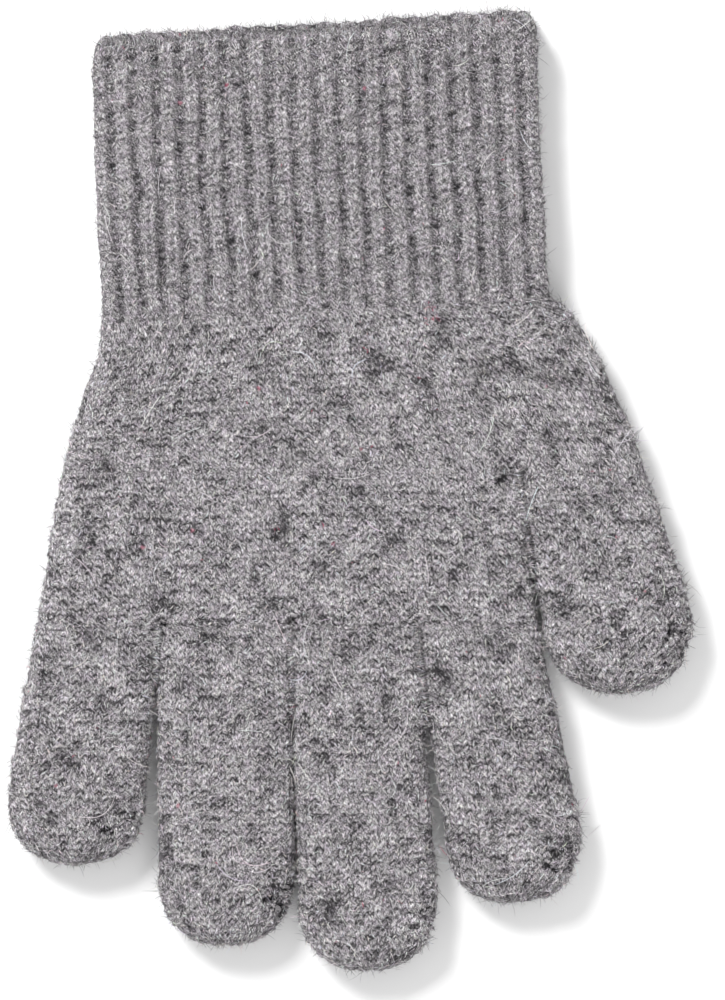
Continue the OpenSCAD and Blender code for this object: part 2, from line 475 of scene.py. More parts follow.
def new_piece(name, mesh, material):
    piece = bpy.data.objects.new(name, mesh)
    bpy.context.collection.objects.link(piece)
    mesh.materials.append(material)
    return piece


def bake_map(mesh, grid_uv):
    layer = mesh.uv_layers.new(name="OFBake")
    layer.data.foreach_set("uv", grid_uv.astype(np.float32).ravel())


def closed_shell(name, rows, knit_map, relief, material, rims=()):
    """A grid shaped to rows of points, sewn up where its edges meet, faces outwards."""
    count_rows, count_columns = rows.shape[:2]
    bm = bmesh.new()
    bmesh.ops.create_grid(bm, x_segments=count_columns - 1, y_segments=count_rows - 1, size=1.0)
    mesh = bpy.data.meshes.new(name)
    bm.to_mesh(mesh)
    bm.free()
    co = np.empty(len(mesh.vertices) * 3, np.float32)
    mesh.vertices.foreach_get("co", co)
    co = co.reshape(-1, 3)
    column = np.rint((co[:, 0] + 1) / 2 * (count_columns - 1)).astype(int)
    row = np.rint((co[:, 1] + 1) / 2 * (count_rows - 1)).astype(int)
    mesh.vertices.foreach_set("co", (rows[row, column] * MM).astype(np.float32).ravel())
    corner = np.empty(len(mesh.loops), np.int32)
    mesh.loops.foreach_get("vertex_index", corner)
    knit = mesh.uv_layers.new(name="Knit")
    knit.data.foreach_set("uv", knit_map[row, column][corner].astype(np.float32).ravel())
    spread = np.stack([column / (count_columns - 1), row / (count_rows - 1)], 1)
    bake_map(mesh, (0.004 + 0.992 * spread)[corner])
    depth = mesh.attributes.new("Relief", "FLOAT", "POINT")
    depth.data.foreach_set("value", relief[row, column].astype(np.float32).ravel())
    order = mesh.attributes.new("Row", "INT", "POINT")
    order.data.foreach_set("value", row.astype(np.int32))
    bm = bmesh.new()
    bm.from_mesh(mesh)
    bmesh.ops.remove_doubles(bm, verts=bm.verts, dist=2e-6)
    bmesh.ops.recalc_face_normals(bm, faces=bm.faces)
    for face in bm.faces:
        face.smooth = True
    bm.to_mesh(mesh)
    bm.free()
    if rims:
        sharpen_rims(mesh, rims)
    return new_piece(name, mesh, material)


def sharpen_rims(mesh, rims):
    """Keeps the shading of a cut edge apart from that of the face beside it."""
    row = np.empty(len(mesh.vertices), np.int32)
    mesh.attributes["Row"].data.foreach_get("value", row)
    ends = np.empty(len(mesh.edges) * 2, np.int32)
    mesh.edges.foreach_get("vertices", ends)
    ends = row[ends.reshape(-1, 2)]
    sharp = (ends[:, 0] == ends[:, 1]) & np.isin(ends[:, 0], rims)
    mark = mesh.attributes.new("sharp_edge", "BOOLEAN", "EDGE")
    mark.data.foreach_set("value", sharp)


def lip(outer, inner, bulge, steps=3):
    """Rounded rows between the edge of an outer face and the edge of an inner one."""
    middle, half = (outer + inner) / 2, (outer - inner) / 2
    turns = np.linspace(0, math.pi, steps + 2)[1:-1]
    return [middle + half * math.cos(t) + bulge * math.sin(t) for t in turns]


def tube_shell(name, outer, inner, knit_out, knit_in, relief_out, relief_in, material):
    """A tube open at both ends, or at its first row only when its last rows are points."""
    far = np.linalg.norm(outer[-1].max(0) - outer[-1].min(0))
    inner_back, map_back, relief_back = inner[::-1], knit_in[::-1], relief_in[::-1]
    if far > 0.01:
        rows = np.concatenate([outer, inner_back, outer[:1]])
        maps = np.concatenate([knit_out, map_back, knit_out[:1]])
        relief = np.concatenate([relief_out, relief_back, relief_out[:1]])
        k = len(outer)
        rims = (0, k - 1, k, len(rows) - 2, len(rows) - 1)
    else:
        rows = np.concatenate([outer[::-1], inner])
        maps = np.concatenate([knit_out[::-1], knit_in])
        relief = np.concatenate([relief_out[::-1], relief_in])
        rims = (len(outer) - 1, len(outer))
    return closed_shell(name, rows, maps, relief, material, rims)


# ---------------------------------------------------------------- materials


class Shade:
    """A node material under construction, with short names for the nodes that it uses."""

    def __init__(self, name):
        self.material = bpy.data.materials.new(name)
        self.material.use_nodes = True
        self.tree = self.material.node_tree
        self.tree.nodes.clear()

    def node(self, kind, **values):
        made = self.tree.nodes.new(kind)
        for key, value in values.items():
            setattr(made, key, value)
        return made

    def join(self, source, target):
        self.tree.links.new(source, target)

    def fill(self, socket, value):
        if hasattr(value, "is_output"):
            self.join(value, socket)
        else:
            socket.default_value = value

    def math(self, operation, a, b=0.0, clamp=False):
        made = self.node("ShaderNodeMath", operation=operation, use_clamp=clamp)
        self.fill(made.inputs[0], a)
        self.fill(made.inputs[1], b)
        return made.outputs[0]

    def sum(self, *values):
        total = values[0]
        for value in values[1:]:
            total = self.math("ADD", total, value)
        return total

    def times(self, a, b):
        return self.math("MULTIPLY", a, b)

    def vector(self, x, y, z=0.0):
        made = self.node("ShaderNodeCombineXYZ")
        for socket, value in zip(made.inputs, (x, y, z)):
            self.fill(socket, value)
        return made.outputs[0]

    def noise(self, at, scale=1.0, detail=2.0, roughness=0.55):
        made = self.node("ShaderNodeTexNoise")
        self.join(at, made.inputs["Vector"])
        made.inputs["Scale"].default_value = scale
        made.inputs["Detail"].default_value = detail
        made.inputs["Roughness"].default_value = roughness
        return made.outputs["Fac"]

    def ramp(self, value, stops):
        made = self.node("ShaderNodeValToRGB")
        self.join(value, made.inputs[0])
        ramp = made.color_ramp
        while len(ramp.elements) < len(stops):
            ramp.elements.new(0.5)
        for element, (place, colour) in zip(ramp.elements, stops):
            element.position = place
            element.color = (*colour, 1.0)
        return made.outputs[0]

    def blend(self, share, a, b, kind="MIX"):
        made = self.node("ShaderNodeMix", data_type="RGBA", blend_type=kind)
        self.fill(made.inputs[0], share)
        for socket, value in ((made.inputs[6], a), (made.inputs[7], b)):
            self.fill(socket, value if hasattr(value, "is_output") else (*value, 1.0))
        return made.outputs[2]

    def grey(self, value):
        return self.vector(value, value, value)

    def finish(self, colour, roughness, bump=None, strength=0.5, depth=0.0002, sheen=0.25):
        shader = self.node("ShaderNodeBsdfPrincipled")
        self.fill(shader.inputs["Base Color"], colour)
        self.fill(shader.inputs["Roughness"], roughness)
        shader.inputs["Specular IOR Level"].default_value = 0.2
        shader.inputs["Sheen Weight"].default_value = sheen
        shader.inputs["Sheen Roughness"].default_value = 0.5
        if bump is not None:
            made = self.node("ShaderNodeBump")
            made.inputs["Strength"].default_value = strength
            made.inputs["Distance"].default_value = depth
            self.join(bump, made.inputs["Height"])
            self.join(made.outputs[0], shader.inputs["Normal"])
        out = self.node("ShaderNodeOutputMaterial")
        self.join(shader.outputs[0], out.inputs[0])
        return self.material


# Lean of a stitch's legs, then the turn in degrees and the tone of each layer of stray fibres
LEG_LEAN = math.radians(32)
STRAYS = ((14, 0.80), (70, 0.08), (-38, 0.72), (-80, 0.12), (52, 0.95), (-62, 0.62))


def felted_wool(name, wale, course, usual):
    """Heather wool whose fibres follow the stitch legs, under a felt of fibres that lie any way."""
    colours = settings().colours
    s = Shade(name)
    uv = s.node("ShaderNodeUVMap", uv_map="Knit").outputs[0]
    split = s.node("ShaderNodeSeparateXYZ")
    s.join(uv, split.inputs[0])
    w, c = split.outputs[0], split.outputs[1]
    off = s.math("SUBTRACT", s.math("FRACT", w), 0.5)
    side = s.math("SIGN", off)
    x, y = s.times(w, wale), s.times(c, course)
    lean, upright = math.sin(LEG_LEAN), math.cos(LEG_LEAN)
    x_side = s.times(x, side)
    along = s.sum(s.times(x_side, lean), s.times(y, upright))
    across = s.math("SUBTRACT", s.times(x, upright), s.times(s.times(y, side), lean))
    plies = s.noise(s.vector(s.times(across, 5.5), s.times(along, 0.9), s.times(side, 3.0)), 1, 3, 0.7)
    flat = s.vector(x, y, 0.0)
    lumps = s.noise(flat, 0.33, 3, 0.6)
    mottle = s.noise(flat, 1.5, 3, 0.65)
    speck = s.noise(flat, 4.2, 1, 0.5)
    relief = s.node("ShaderNodeAttribute", attribute_name="Relief").outputs["Fac"]
    # The Relief term paints the low places of the knit darker, as painted shade; the noise terms are random
    # tone
    tone = s.sum(
        s.times(s.math("SUBTRACT", plies, 0.5), 3.2),
        s.times(s.math("SUBTRACT", lumps, 0.5), 0.16),
        s.times(s.math("SUBTRACT", mottle, 0.5), 0.35),
        s.times(s.math("SUBTRACT", speck, 0.5), 0.9),
        s.times(s.math("SUBTRACT", relief, 0.45), 0.8),
        usual,
    )
    strands = None
    for i, (degrees, shade) in enumerate(STRAYS):
        turn = math.radians(degrees)
        run = s.sum(s.times(x, math.cos(turn)), s.times(y, math.sin(turn)))
        over = s.sum(s.times(x, -math.sin(turn)), s.times(y, math.cos(turn)))
        layer = s.noise(s.vector(s.times(run, 1.3), s.times(over, 6.5), 7.0 * i + 2.0), 1, 1, 0.5)
        share = s.math("MULTIPLY", s.math("SUBTRACT", layer, 0.60), 14.0, clamp=True)
        tone = s.sum(s.times(tone, s.math("SUBTRACT", 1.0, share)), s.times(share, shade))
        strands = share if strands is None else s.math("MAXIMUM", strands, share)
    wool = s.ramp(
        tone,
        (
            (0.0, tuple(colours.dark)),
            (0.28, tuple(0.5 * v for v in colours.middle)),
            (0.50, tuple(colours.middle)),
            (0.76, tuple(1.6 * v for v in colours.middle)),
            (1.0, tuple(colours.pale)),
        ),
    )
    tint = s.noise(flat, 0.55, 2, 0.5)
    hue = s.ramp(tint, ((0.30, (0.97, 1.0, 0.95)), (0.5, (1.0, 1.0, 1.0)), (0.68, (1.0, 0.94, 1.02))))
    colour = s.blend(0.8, wool, hue, "MULTIPLY")
    rare = s.node("ShaderNodeTexVoronoi")
    s.join(flat, rare.inputs["Vector"])
    rare.inputs["Scale"].default_value = 0.11
    spot = s.math("LESS_THAN", s.sum(rare.outputs["Distance"], s.times(mottle, 0.12)), 0.11)
    colour = s.blend(s.times(spot, 0.35), colour, tuple(colours.fleck))
    # Painted shade: where Relief is low, between stitches and in the pits, the colour is drawn towards the
    # dark wool
    gap = s.math("MULTIPLY", s.math("SUBTRACT", 0.30, relief), 3.6, clamp=True)
    colour = s.blend(s.times(gap, 0.92), colour, tuple(0.6 * v for v in colours.dark))
    height = s.sum(s.times(plies, 1.0), s.times(strands, 0.35), s.times(speck, 0.4))
    return s.finish(colour, 0.95, height, 0.6, 0.00022, 0.12)


def loose_fibre(name):
    """Loose fibres: each keeps its own tone, with a slow change along it."""
    s = Shade(name)
    tone = s.node("ShaderNodeAttribute", attribute_name="Tone").outputs["Color"]
    place = s.node("ShaderNodeTexCoord").outputs["Object"]
    change = s.noise(place, 900, 2, 0.5)
    shade = s.grey(s.sum(s.times(change, 0.5), 0.78))
    return s.finish(s.blend(1.0, tone, shade, "MULTIPLY"), 0.8, sheen=0.1)


def plied_yarn(name, colour, plies=2.0):
    """Yarn or covered thread whose plies wind round it."""
    s = Shade(name)
    uv = s.node("ShaderNodeUVMap", uv_map="Knit").outputs[0]
    split = s.node("ShaderNodeSeparateXYZ")
    s.join(uv, split.inputs[0])
    round_it, along = split.outputs[0], split.outputs[1]
    wound = s.sum(s.times(round_it, plies), s.times(along, 1.4))
    groove = s.math("ABSOLUTE", s.math("SUBTRACT", s.math("FRACT", wound), 0.5))
    hairs = s.noise(s.vector(s.times(wound, 9.0), s.times(along, 1.0)), 1, 2, 0.6)
    # Painted shade: the grooves between the plies are darkened; the hairs noise is random tone
    shade = s.sum(s.times(groove, -0.9), s.times(hairs, 0.6), 0.92)
    mixed = s.blend(1.0, tuple(colour), s.grey(shade), "MULTIPLY")
    return s.finish(mixed, 0.9, s.sum(s.times(groove, -1.0), s.times(hairs, 0.5)), 0.6, 0.0002, 0.03)


def paper_white(name):
    s = Shade(name)
    place = s.node("ShaderNodeTexCoord").outputs["Object"]
    grain = s.noise(place, 40, 2, 0.5)
    return s.finish(s.grey(s.sum(s.times(grain, 0.02), 0.93)), 0.9, sheen=0.0)


def material(name, make, *values):
    """The named material, made the first time that it is asked for."""
    return bpy.data.materials.get(name) or make(name, *values)


# Usual tones of the knit and of the felt over it, from 0 (darkest wool) to 1 (palest)
PLAIN_TONE, RIB_TONE = 0.39, 0.28
PALM_FELT_TONE, DIGIT_FELT_TONE = 0.485, 0.56
RIB_FELT_TONE, MOUTH_FELT_TONE = 0.25, 0.36
# Shares of the usual felt density
RIB_FELT_SHARE, MOUTH_FELT_SHARE = 0.64, 0.9


def plain_wool():
    knit = settings().knit
    return material("heather_wool", felted_wool, knit.wale, knit.course, PLAIN_TONE)


def rib_wool():
    knit = settings().knit
    return material("rib_wool", felted_wool, knit.rib / 2, knit.rib_course, RIB_TONE)


# ---------------------------------------------------------------- loose fibres


# Fibres stop this far above the floor, in millimetres
LOWEST_FIBRE = 0.02


def fibre_form(segments):
    """A three-sided spindle with a point at each end: corners as (x, y, station), and triangles."""
    bm = bmesh.new()
    bmesh.ops.create_cone(
        bm, cap_ends=True, segments=3, radius1=1.0, radius2=0.0, depth=segments - 1
    )
    bmesh.ops.translate(bm, verts=bm.verts, vec=(0, 0, (segments + 1) / 2))
    bmesh.ops.remove_doubles(bm, verts=bm.verts, dist=1e-5)
    base = min(bm.faces, key=lambda f: f.calc_center_median().z)
    poked = bmesh.ops.poke(bm, faces=[base])
    for vert in poked["verts"]:
        vert.co.z = 0
    for station in range(2, segments):
        geometry = bm.verts[:] + bm.edges[:] + bm.faces[:]
        bmesh.ops.bisect_plane(bm, geom=geometry, plane_co=(0, 0, station), plane_no=(0, 0, 1))
    bmesh.ops.triangulate(bm, faces=bm.faces)
    bmesh.ops.recalc_face_normals(bm, faces=bm.faces)
    bm.verts.ensure_lookup_table()
    bm.verts.index_update()
    places = np.array([v.co[:] for v in bm.verts])
    round_it = np.linalg.norm(places[:, :2], axis=1, keepdims=True)
    places[:, :2] = np.where(round_it > 1e-4, places[:, :2] / np.maximum(round_it, 1e-4), 0)
    triangles = np.array([[v.index for v in f.verts] for f in bm.faces])
    bm.free()
    return places, triangles


def fibre_mesh(name, bundles):
    """One mesh of many spindles. Each bundle is (stations, radii, tones) for like fibres."""
    all_co, all_corners, all_tones, first = [], [], [], 0
    for stations, radii, tones in bundles:
        count, segments = len(stations), stations.shape[1] - 1
        places, triangles = fibre_form(segments)
        step = np.rint(places[:, 2]).astype(int)
        way = stations[:, -1] - stations[:, 0]
        way /= np.maximum(np.linalg.norm(way, axis=1, keepdims=True), 1e-9)
        helper = np.where(np.abs(way[:, 2:3]) > 0.8, [[1.0, 0, 0]], [[0, 0, 1.0]])
        side = np.cross(way, helper)
        side /= np.linalg.norm(side, axis=1, keepdims=True)
        up = np.cross(side, way)
        taper = radii[:, None] * np.array([1 - 0.4 * k / segments for k in range(segments + 1)])
        co = stations[:, step]
        co = co + side[:, None] * (places[:, 0] * taper[:, step])[..., None]
        co = co - up[:, None] * (places[:, 1] * taper[:, step])[..., None]
        all_co.append(co.reshape(-1, 3))
        corners = triangles[None] + (first + np.arange(count) * len(places))[:, None, None]
        all_corners.append(corners.ravel())
        all_tones.append(np.repeat(np.concatenate([tones, np.ones((count, 1))], 1), len(places), 0))
        first += count * len(places)
    co, corners, tones = (np.concatenate(v) for v in (all_co, all_corners, all_tones))
    co[:, 2] = np.maximum(co[:, 2], LOWEST_FIBRE)
    mesh = bpy.data.meshes.new(name)
    mesh.vertices.add(len(co))
    mesh.vertices.foreach_set("co", (co * MM).astype(np.float32).ravel())
    mesh.loops.add(len(corners))
    mesh.loops.foreach_set("vertex_index", corners.astype(np.int32))
    mesh.polygons.add(len(corners) // 3)
    mesh.polygons.foreach_set("loop_start", np.arange(0, len(corners), 3, dtype=np.int32))
    mesh.update(calc_edges=True)
    tone = mesh.attributes.new("Tone", "FLOAT_COLOR", "POINT")
    tone.data.foreach_set("color", tones.astype(np.float32).ravel())
    return new_piece(name, mesh, material("loose_fibre", loose_fibre))


# Tufts of dyed fibre: x, y and reach, in millimetres
FLECKS = ((14.0, 31.5, 1.3), (2.3, 24.3, 0.8), (-13.0, -7.2, 0.9), (-27.4, -12.6, 0.6), (-10.8, -34.0, 0.6))


def dye_flecks(place, tones, rng):
    """Tufts of stray dyed fibre on the upper layer."""
    for x, y, reach in FLECKS:
        far = np.hypot(place[:, 0] - x, (place[:, 1] - y) * 0.6)
        chosen = (far < reach) & (place[:, 2] > middle_height()) & (rng.random(len(far)) < 0.4)
        tones[chosen] = np.array(settings().colours.fleck) * rng.uniform(0.5, 1.1, (chosen.sum(), 1))
    return tones


def painted_crease_shade(place):
    """Painted shade: darker wool in the thumb's crease, in the notch of the wrist and beside the crotches,
    where shade falls.
    """
    far, off = crease_frame(place)
    shade = 0.15 * smooth(far / 0.3) * smooth((1 - far) / 0.2) * np.exp(-((off / 3.2) ** 2))
    notch = np.hypot((place[:, 0] - UPPER_HIGH[0] - 4) / 5, (place[:, 1] - WRIST[1] + 1) / 2.2)
    shade = shade + 0.14 * np.exp(-(notch**2))
    for centre, _, _ in crotch_puckers():
        beside = np.hypot((place[:, 0] - centre[0]) / 1.6, (place[:, 1] - centre[1] + 5) / 5)
        shade = shade + 0.10 * np.exp(-(beside**2))
    return shade


def fibre_tones(rng, count, usual=0.55, spread=0.3):
    """Colours for single fibres, from the dark wool over the grey to the pale."""
    colours = settings().colours
    dark, middle, pale = (np.array(c) for c in (colours.dark, colours.middle, colours.pale))
    t = np.clip(usual + rng.normal(0, spread, count), 0, 1)[:, None]
    tones = np.where(t < 0.5, dark + (middle - dark) * 2 * t, middle + (pale - middle) * (2 * t - 1))
    tones = tones * (1 + 0.05 * rng.normal(size=(count, 3)))
    tones[rng.random(count) < 0.0010] = np.array(colours.fleck)
    return np.clip(tones, 0.01, 1.2)


def surface_area(points):
    across = points[:-1, 1:] - points[:-1, :-1]
    along = points[1:, :-1] - points[:-1, :-1]
    return np.linalg.norm(np.cross(across, along), axis=2)


def scatter(points, n, maps, relief, per_mm2, rng, under=0.4, edge=1.0):
    """Random places on a knitted surface, fewer underneath: place, normal, stitch leg's way."""
    area = surface_area(points)
    up = n[:-1, :-1, 2]
    share = np.where(up < -0.3, under, np.where(up < 0.55, edge, 1.0))
    share = share * (0.12 + 1.5 * relief[:-1, :-1] ** 1.3)
    weight = (area * share).ravel()
    count = int(weight.sum() * per_mm2)
    pick = rng.choice(weight.size, count, p=weight / weight.sum())
    r, c = np.unravel_index(pick, area.shape)
    across = points[r, c + 1] - points[r, c]
    along = points[r + 1, c] - points[r, c]
    place = points[r, c] + across * rng.random((count, 1)) + along * rng.random((count, 1))
    along /= np.maximum(np.linalg.norm(along, axis=1, keepdims=True), 1e-9)
    normal = n[r, c]
    across = np.cross(along, normal)
    across *= np.sign(np.sum(across * (points[r, c + 1] - points[r, c]), 1, keepdims=True))
    wale = maps[r, c, 0]
    side = np.where(wale - np.floor(wale) > 0.5, 1.0, -1.0)[:, None]
    lean = LEG_LEAN + rng.normal(0, 0.10, (count, 1))
    return place, normal, along * np.cos(lean) + across * side * np.sin(lean)


# Felted fibres on each millimetre of a groove
GROOVE_FELT = 46.0
# How far the middle of a felted fibre stands up, and how deep its ends lie
FELT_RISE, FELT_ROOT = 0.05, 0.06
HALO_BEND = 0.35


def groove_felt(left, right, rng):
    """Felted fibres that lie across the groove where two neighbours touch."""
    row = row_of(right)
    reach = TOUCH[left, right] + 1.5
    count = round(GROOVE_FELT * reach)
    down = rng.uniform(-0.8, reach, count)
    x = np.array([(side_line(left, 1, row - d) + side_line(right, -1, row - d)) / 2 for d in down])
    floors = np.array([leaning(right, -1, row - max(d, 0.0)) for d in down])
    inside = rng.uniform(0.05, 0.9, count)
    level = floors + (1 - floors) * edge_round(inside)
    z = middle_height() * (1 + level) - 0.1 + rng.uniform(-0.1, 0.1, count)
    turn = rng.normal(0, 0.7, count)
    half = (inside + 0.3)[:, None]
    way = np.stack([np.cos(turn), np.sin(turn), rng.normal(0, 0.1, count)], 1)
    mid = np.stack([x + rng.normal(0, 0.12, count), row - down, z], 1)
    radii = settings().fuzz.felt_radius * rng.uniform(0.6, 1.3, count)
    sag = np.array([0, 0, 0.12])
    stations = np.stack([mid - way * half - sag, mid, mid + way * half - sag], 1)
    return stations, radii, fibre_tones(rng, count, 0.45, 0.4)


def turned(leg, normal, turn):
    """The stitch leg's way, turned in the surface."""
    return leg * np.cos(turn) + np.cross(normal, leg) * np.sin(turn)


def felt_fibres(surface, density, usual, rng):
    """Felted fibres that lie close, most of them nearly along the stitch legs."""
    fuzz = settings().fuzz
    place, normal, leg = scatter(*surface, density, rng)
    count = len(place)
    turn = rng.normal(0, 1, (count, 1)) * np.where(rng.random((count, 1)) < 0.3, 1.1, 0.38)
    way = turned(leg, normal, turn)
    length = fuzz.felt_length * np.exp(rng.normal(0, 0.35, (count, 1)))
    bow = np.cross(normal, way) * rng.normal(0, 0.13, (count, 1)) * length
    mid = place + normal * (FELT_RISE + rng.uniform(-0.02, 0.06, (count, 1))) + bow
    start = place - normal * FELT_ROOT - way * length * 0.5
    end = place - normal * FELT_ROOT + way * length * 0.5
    radii = fuzz.felt_radius * rng.uniform(0.5, 1.3, count)
    patch = 0.02 * soft_waves(place, 14, SEEDS["patches"])
    # Random specks of tone, less the painted shade in the thumb's crease, the wrist's notch and beside the
    # crotches
    patch = patch + 0.03 * soft_waves(place, 3.5, SEEDS["specks"]) - painted_crease_shade(place)
    tones = dye_flecks(place, fibre_tones(rng, count, usual + patch, 0.60), rng)
    return np.stack([start, mid, end], 1), radii, tones


def halo_fibres(surface, rng):
    """Short fibres that stand off the knit, densest round the edges."""
    fuzz = settings().fuzz
    place, normal, leg = scatter(*surface, fuzz.halo, rng, 0.4, 6.5)
    count = len(place)
    way = turned(leg, normal, rng.uniform(-math.pi, math.pi, (count, 1)))
    rise = rng.uniform(0.15, 1.0, (count, 1))
    way = way * np.sqrt(1 - 0.6 * rise**2) + normal * rise * 0.75
    bend = np.cross(way, rng.normal(size=(count, 3))) * HALO_BEND
    length = fuzz.halo_length * np.exp(rng.normal(0, 0.4, (count, 1)))
    t = np.linspace(0, 1, 5)[None, :, None]
    stations = place[:, None] - normal[:, None] * 0.1 + (way * length)[:, None] * t
    stations = stations + (bend * length)[:, None] * t**2
    radii = fuzz.halo_radius * rng.uniform(0.7, 1.4, count)
    return stations, radii, fibre_tones(rng, count, 0.62, 0.25)


def guard_hairs(surface, rng):
    """A few long pale hairs that lie over the rest."""
    fuzz = settings().fuzz
    place, normal, leg = scatter(*surface, fuzz.hairs / 100, rng, 0.8)
    count = len(place)
    way = turned(leg, normal, rng.normal(0, 1.0, (count, 1)))
    length = rng.uniform(3.5, 9.0, (count, 1))
    t = np.linspace(-0.5, 0.5, 9)[None, :, None]
    curl = np.cross(normal, way) * rng.normal(0, 0.9, (count, 1))
    stations = place[:, None] + (way * length)[:, None] * t
    stations = stations + (curl * length)[:, None] * (t**2 - 0.1)
    stations = stations + normal[:, None] * (0.42 - 1.2 * t**2 * rng.uniform(-0.6, 1, (count, 1, 1)))
    return stations, np.full(count, fuzz.halo_radius * 1.5), fibre_tones(rng, count, 0.98, 0.06)


def add_fuzz(name, points, n, maps, relief, seed, usual=0.52, thick=1.0, more=()):
    """The loose fibres of one section: its felt, its halo, its long hairs and any more bundles."""
    rng = np.random.default_rng(seed)
    surface = points, n, maps, relief
    felt = felt_fibres(surface, settings().fuzz.felt * thick, usual, rng)
    halo = halo_fibres(surface, rng)
    hairs = guard_hairs(surface, rng)
    return fibre_mesh(name, [b for b in (felt, halo, hairs, *more) if len(b[1])])


# ---------------------------------------------------------------- sections of the glove


# How far neighbours touch from their roots, and the length over which they part after it
TOUCH = {
    ("little", "ring"): 8.0,
    ("ring", "middle"): 14.0,
    ("middle", "index"): 16.0,
    ("palm", "thumb"): 17.0,
}
PART_WAYS = 9.0


def side_line(name, side, y):
    """The side of a digit at a level, or the palm's thumb side."""
    if name == "palm":
        thumb = PLAN["thumb"]
        top = thumb["root"][0] - thumb["half"] - THUMB_GAP
        share = (THUMB_ROW - y) / (THUMB_ROW - FINGER_ROW)
        return top + (PALM_HIGH[0] - top) * share
    plan = PLAN[name]
    root, tip = plan["root"], plan["tip"]
    share = (root[1] - y) / (root[1] - tip[1])
    near = root[0] + side * plan["half"]
    return near + (tip[0] + side * plan["radius"] - near) * share


def row_of(digit):
    """Level of the row of stitches that a digit starts from."""
    return THUMB_ROW if digit == "thumb" else FINGER_ROW


def neighbours(name, side):
    """The two sections that meet at a side, how far they touch, and the row where they start."""
    for (left, right), touch in TOUCH.items():
        if (name, side) in ((left, 1), (right, -1)):
            return left, right, touch, row_of(right)
    return None


def squeeze(name, side, y):
    """How far a side bulges out to touch its neighbour near the roots."""
    pair = neighbours(name, side)
    if pair is None:
        return 0.0
    left, right, touch, row = pair
    gap = side_line(right, -1, y) - side_line(left, 1, y)
    return gap / 2 * (1 - smooth((row - y - touch) / PART_WAYS))


# How square the fingertips are, and the height that a side keeps at the root of a groove
TIP_POWER = 2.35
LEAN_ON = 0.95


def leaning(name, side, y):
    """Share of its height that a side keeps where it is pressed against its neighbour."""
    pair = neighbours(name, side)
    if pair is None:
        return 0.0
    _, _, touch, row = pair
    return LEAN_ON * math.sqrt(1 - smooth((row - y) / touch))


def wales_of(digit):
    knit = settings().knit
    return knit.thumb_wales if digit == "thumb" else knit.finger_wales


def digit_surface(digit):
    """Smooth rows of a digit from root to closed tip, and the same for its inner face."""
    knit = settings().knit
    plan = PLAN[digit]
    root, tip, radius = plan["root"], plan["tip"], plan["radius"]
    step = knit.course / ROWS_PER_COURSE
    count = wales_of(digit) * COLUMNS_PER_WALE

    def rows(inset, spacing):
        made = []
        for y in np.arange(root[1], tip[1], -spacing):
            belly = 0.2 * math.sin(math.pi * (root[1] - y) / (root[1] - tip[1]))
            left = side_line(digit, -1, y) - max(belly, squeeze(digit, -1, y)) + inset
            right = side_line(digit, 1, y) + max(belly, squeeze(digit, 1, y)) - inset
            floors = leaning(digit, -1, y), leaning(digit, 1, y)
            height = lambda x: profile(x, left, right, floors)
            slice_xz = ring(left, right, height, count, inset)
            made.append(np.insert(slice_xz, 1, y, axis=1))
        reach = radius - inset
        turns = np.arange(0, math.pi / 2, spacing / reach)
        for turn in np.append(turns, math.pi / 2):
            s = reach * math.sin(turn)
            wide = reach * (max(0.0, 1 - (s / reach) ** TIP_POWER)) ** (1 / TIP_POWER)

            def height(x):
                far = np.abs(x - tip[0]) ** TIP_POWER + s**TIP_POWER
                return edge_round(reach - far ** (1 / TIP_POWER))

            slice_xz = ring(tip[0] - wide, tip[0] + wide, height, count, inset)
            made.append(np.insert(slice_xz, 1, tip[1] - s, axis=1))
        return np.array(made)

    return rows(0.0, step), rows(knit.layer, step * ROWS_PER_COURSE)


def pucker(points, n, centre, reach, depth, creases=5):
    """Draws the knit in round a point, with creases that run towards it."""
    off = points - centre
    far = np.linalg.norm(off, axis=2)
    angle = np.arctan2(off[..., 0], off[..., 1])
    pull = np.exp(-((far / reach) ** 2))
    return points - n * (depth * pull * (0.55 + 0.45 * np.cos(creases * angle)))[..., None]


# Reach and depth of the pucker in a crotch
CROTCH_PUCKER = (3.4, 0.8)
PITS_PER_PUCKER = 4
PITS_PER_TIP = 6


def pit_places():
    """Small holes where a join draws the knit apart: centre, turn, long and short reach, depth."""
    rng = np.random.default_rng(SEEDS["pits"])
    level = 2 * middle_height()
    for centre, _, _ in crotch_puckers():
        for _ in range(PITS_PER_PUCKER):
            off = rng.normal(size=2) * (1.7, 1.3)
            turn = rng.uniform(0, math.pi)
            reach = rng.uniform(0.9, 1.9), rng.uniform(0.30, 0.45)
            yield np.array([*(centre[:2] + off), level]), turn, reach, rng.uniform(0.45, 0.85)
    for digit in DIGITS:
        plan = PLAN[digit]
        for _ in range(PITS_PER_TIP):
            angle = CLOSING_ANGLE + rng.uniform(-0.42, 0.42)
            reach = plan["radius"] - rng.uniform(0.8, 4.6)
            x = plan["tip"][0] + reach * math.cos(angle)
            y = plan["tip"][1] + reach * math.sin(angle)
            z = middle_height() + middle_height() * float(edge_round(plan["radius"] - reach))
            size = rng.uniform(0.7, 1.5), rng.uniform(0.28, 0.45)
            yield np.array([x, y, z]), rng.uniform(0, math.pi), size, rng.uniform(0.6, 1.2)


def pits(points):
    """Depth of the small holes at each place of a surface."""
    depth = np.zeros(points.shape[:-1])
    for centre, turn, reach, deep in pit_places():
        off = points - centre
        near = np.abs(off).max(axis=-1) < 5
        if not near.any():
            continue
        off = off[near]
        run = off[:, 0] * math.cos(turn) + off[:, 1] * math.sin(turn)
        side = -off[:, 0] * math.sin(turn) + off[:, 1] * math.cos(turn)
        form = np.exp(-((run / reach[0]) ** 2) - (side / reach[1]) ** 2 - (off[:, 2] / 2) ** 2)
        depth[near] = np.maximum(depth[near], deep * form)
    return depth


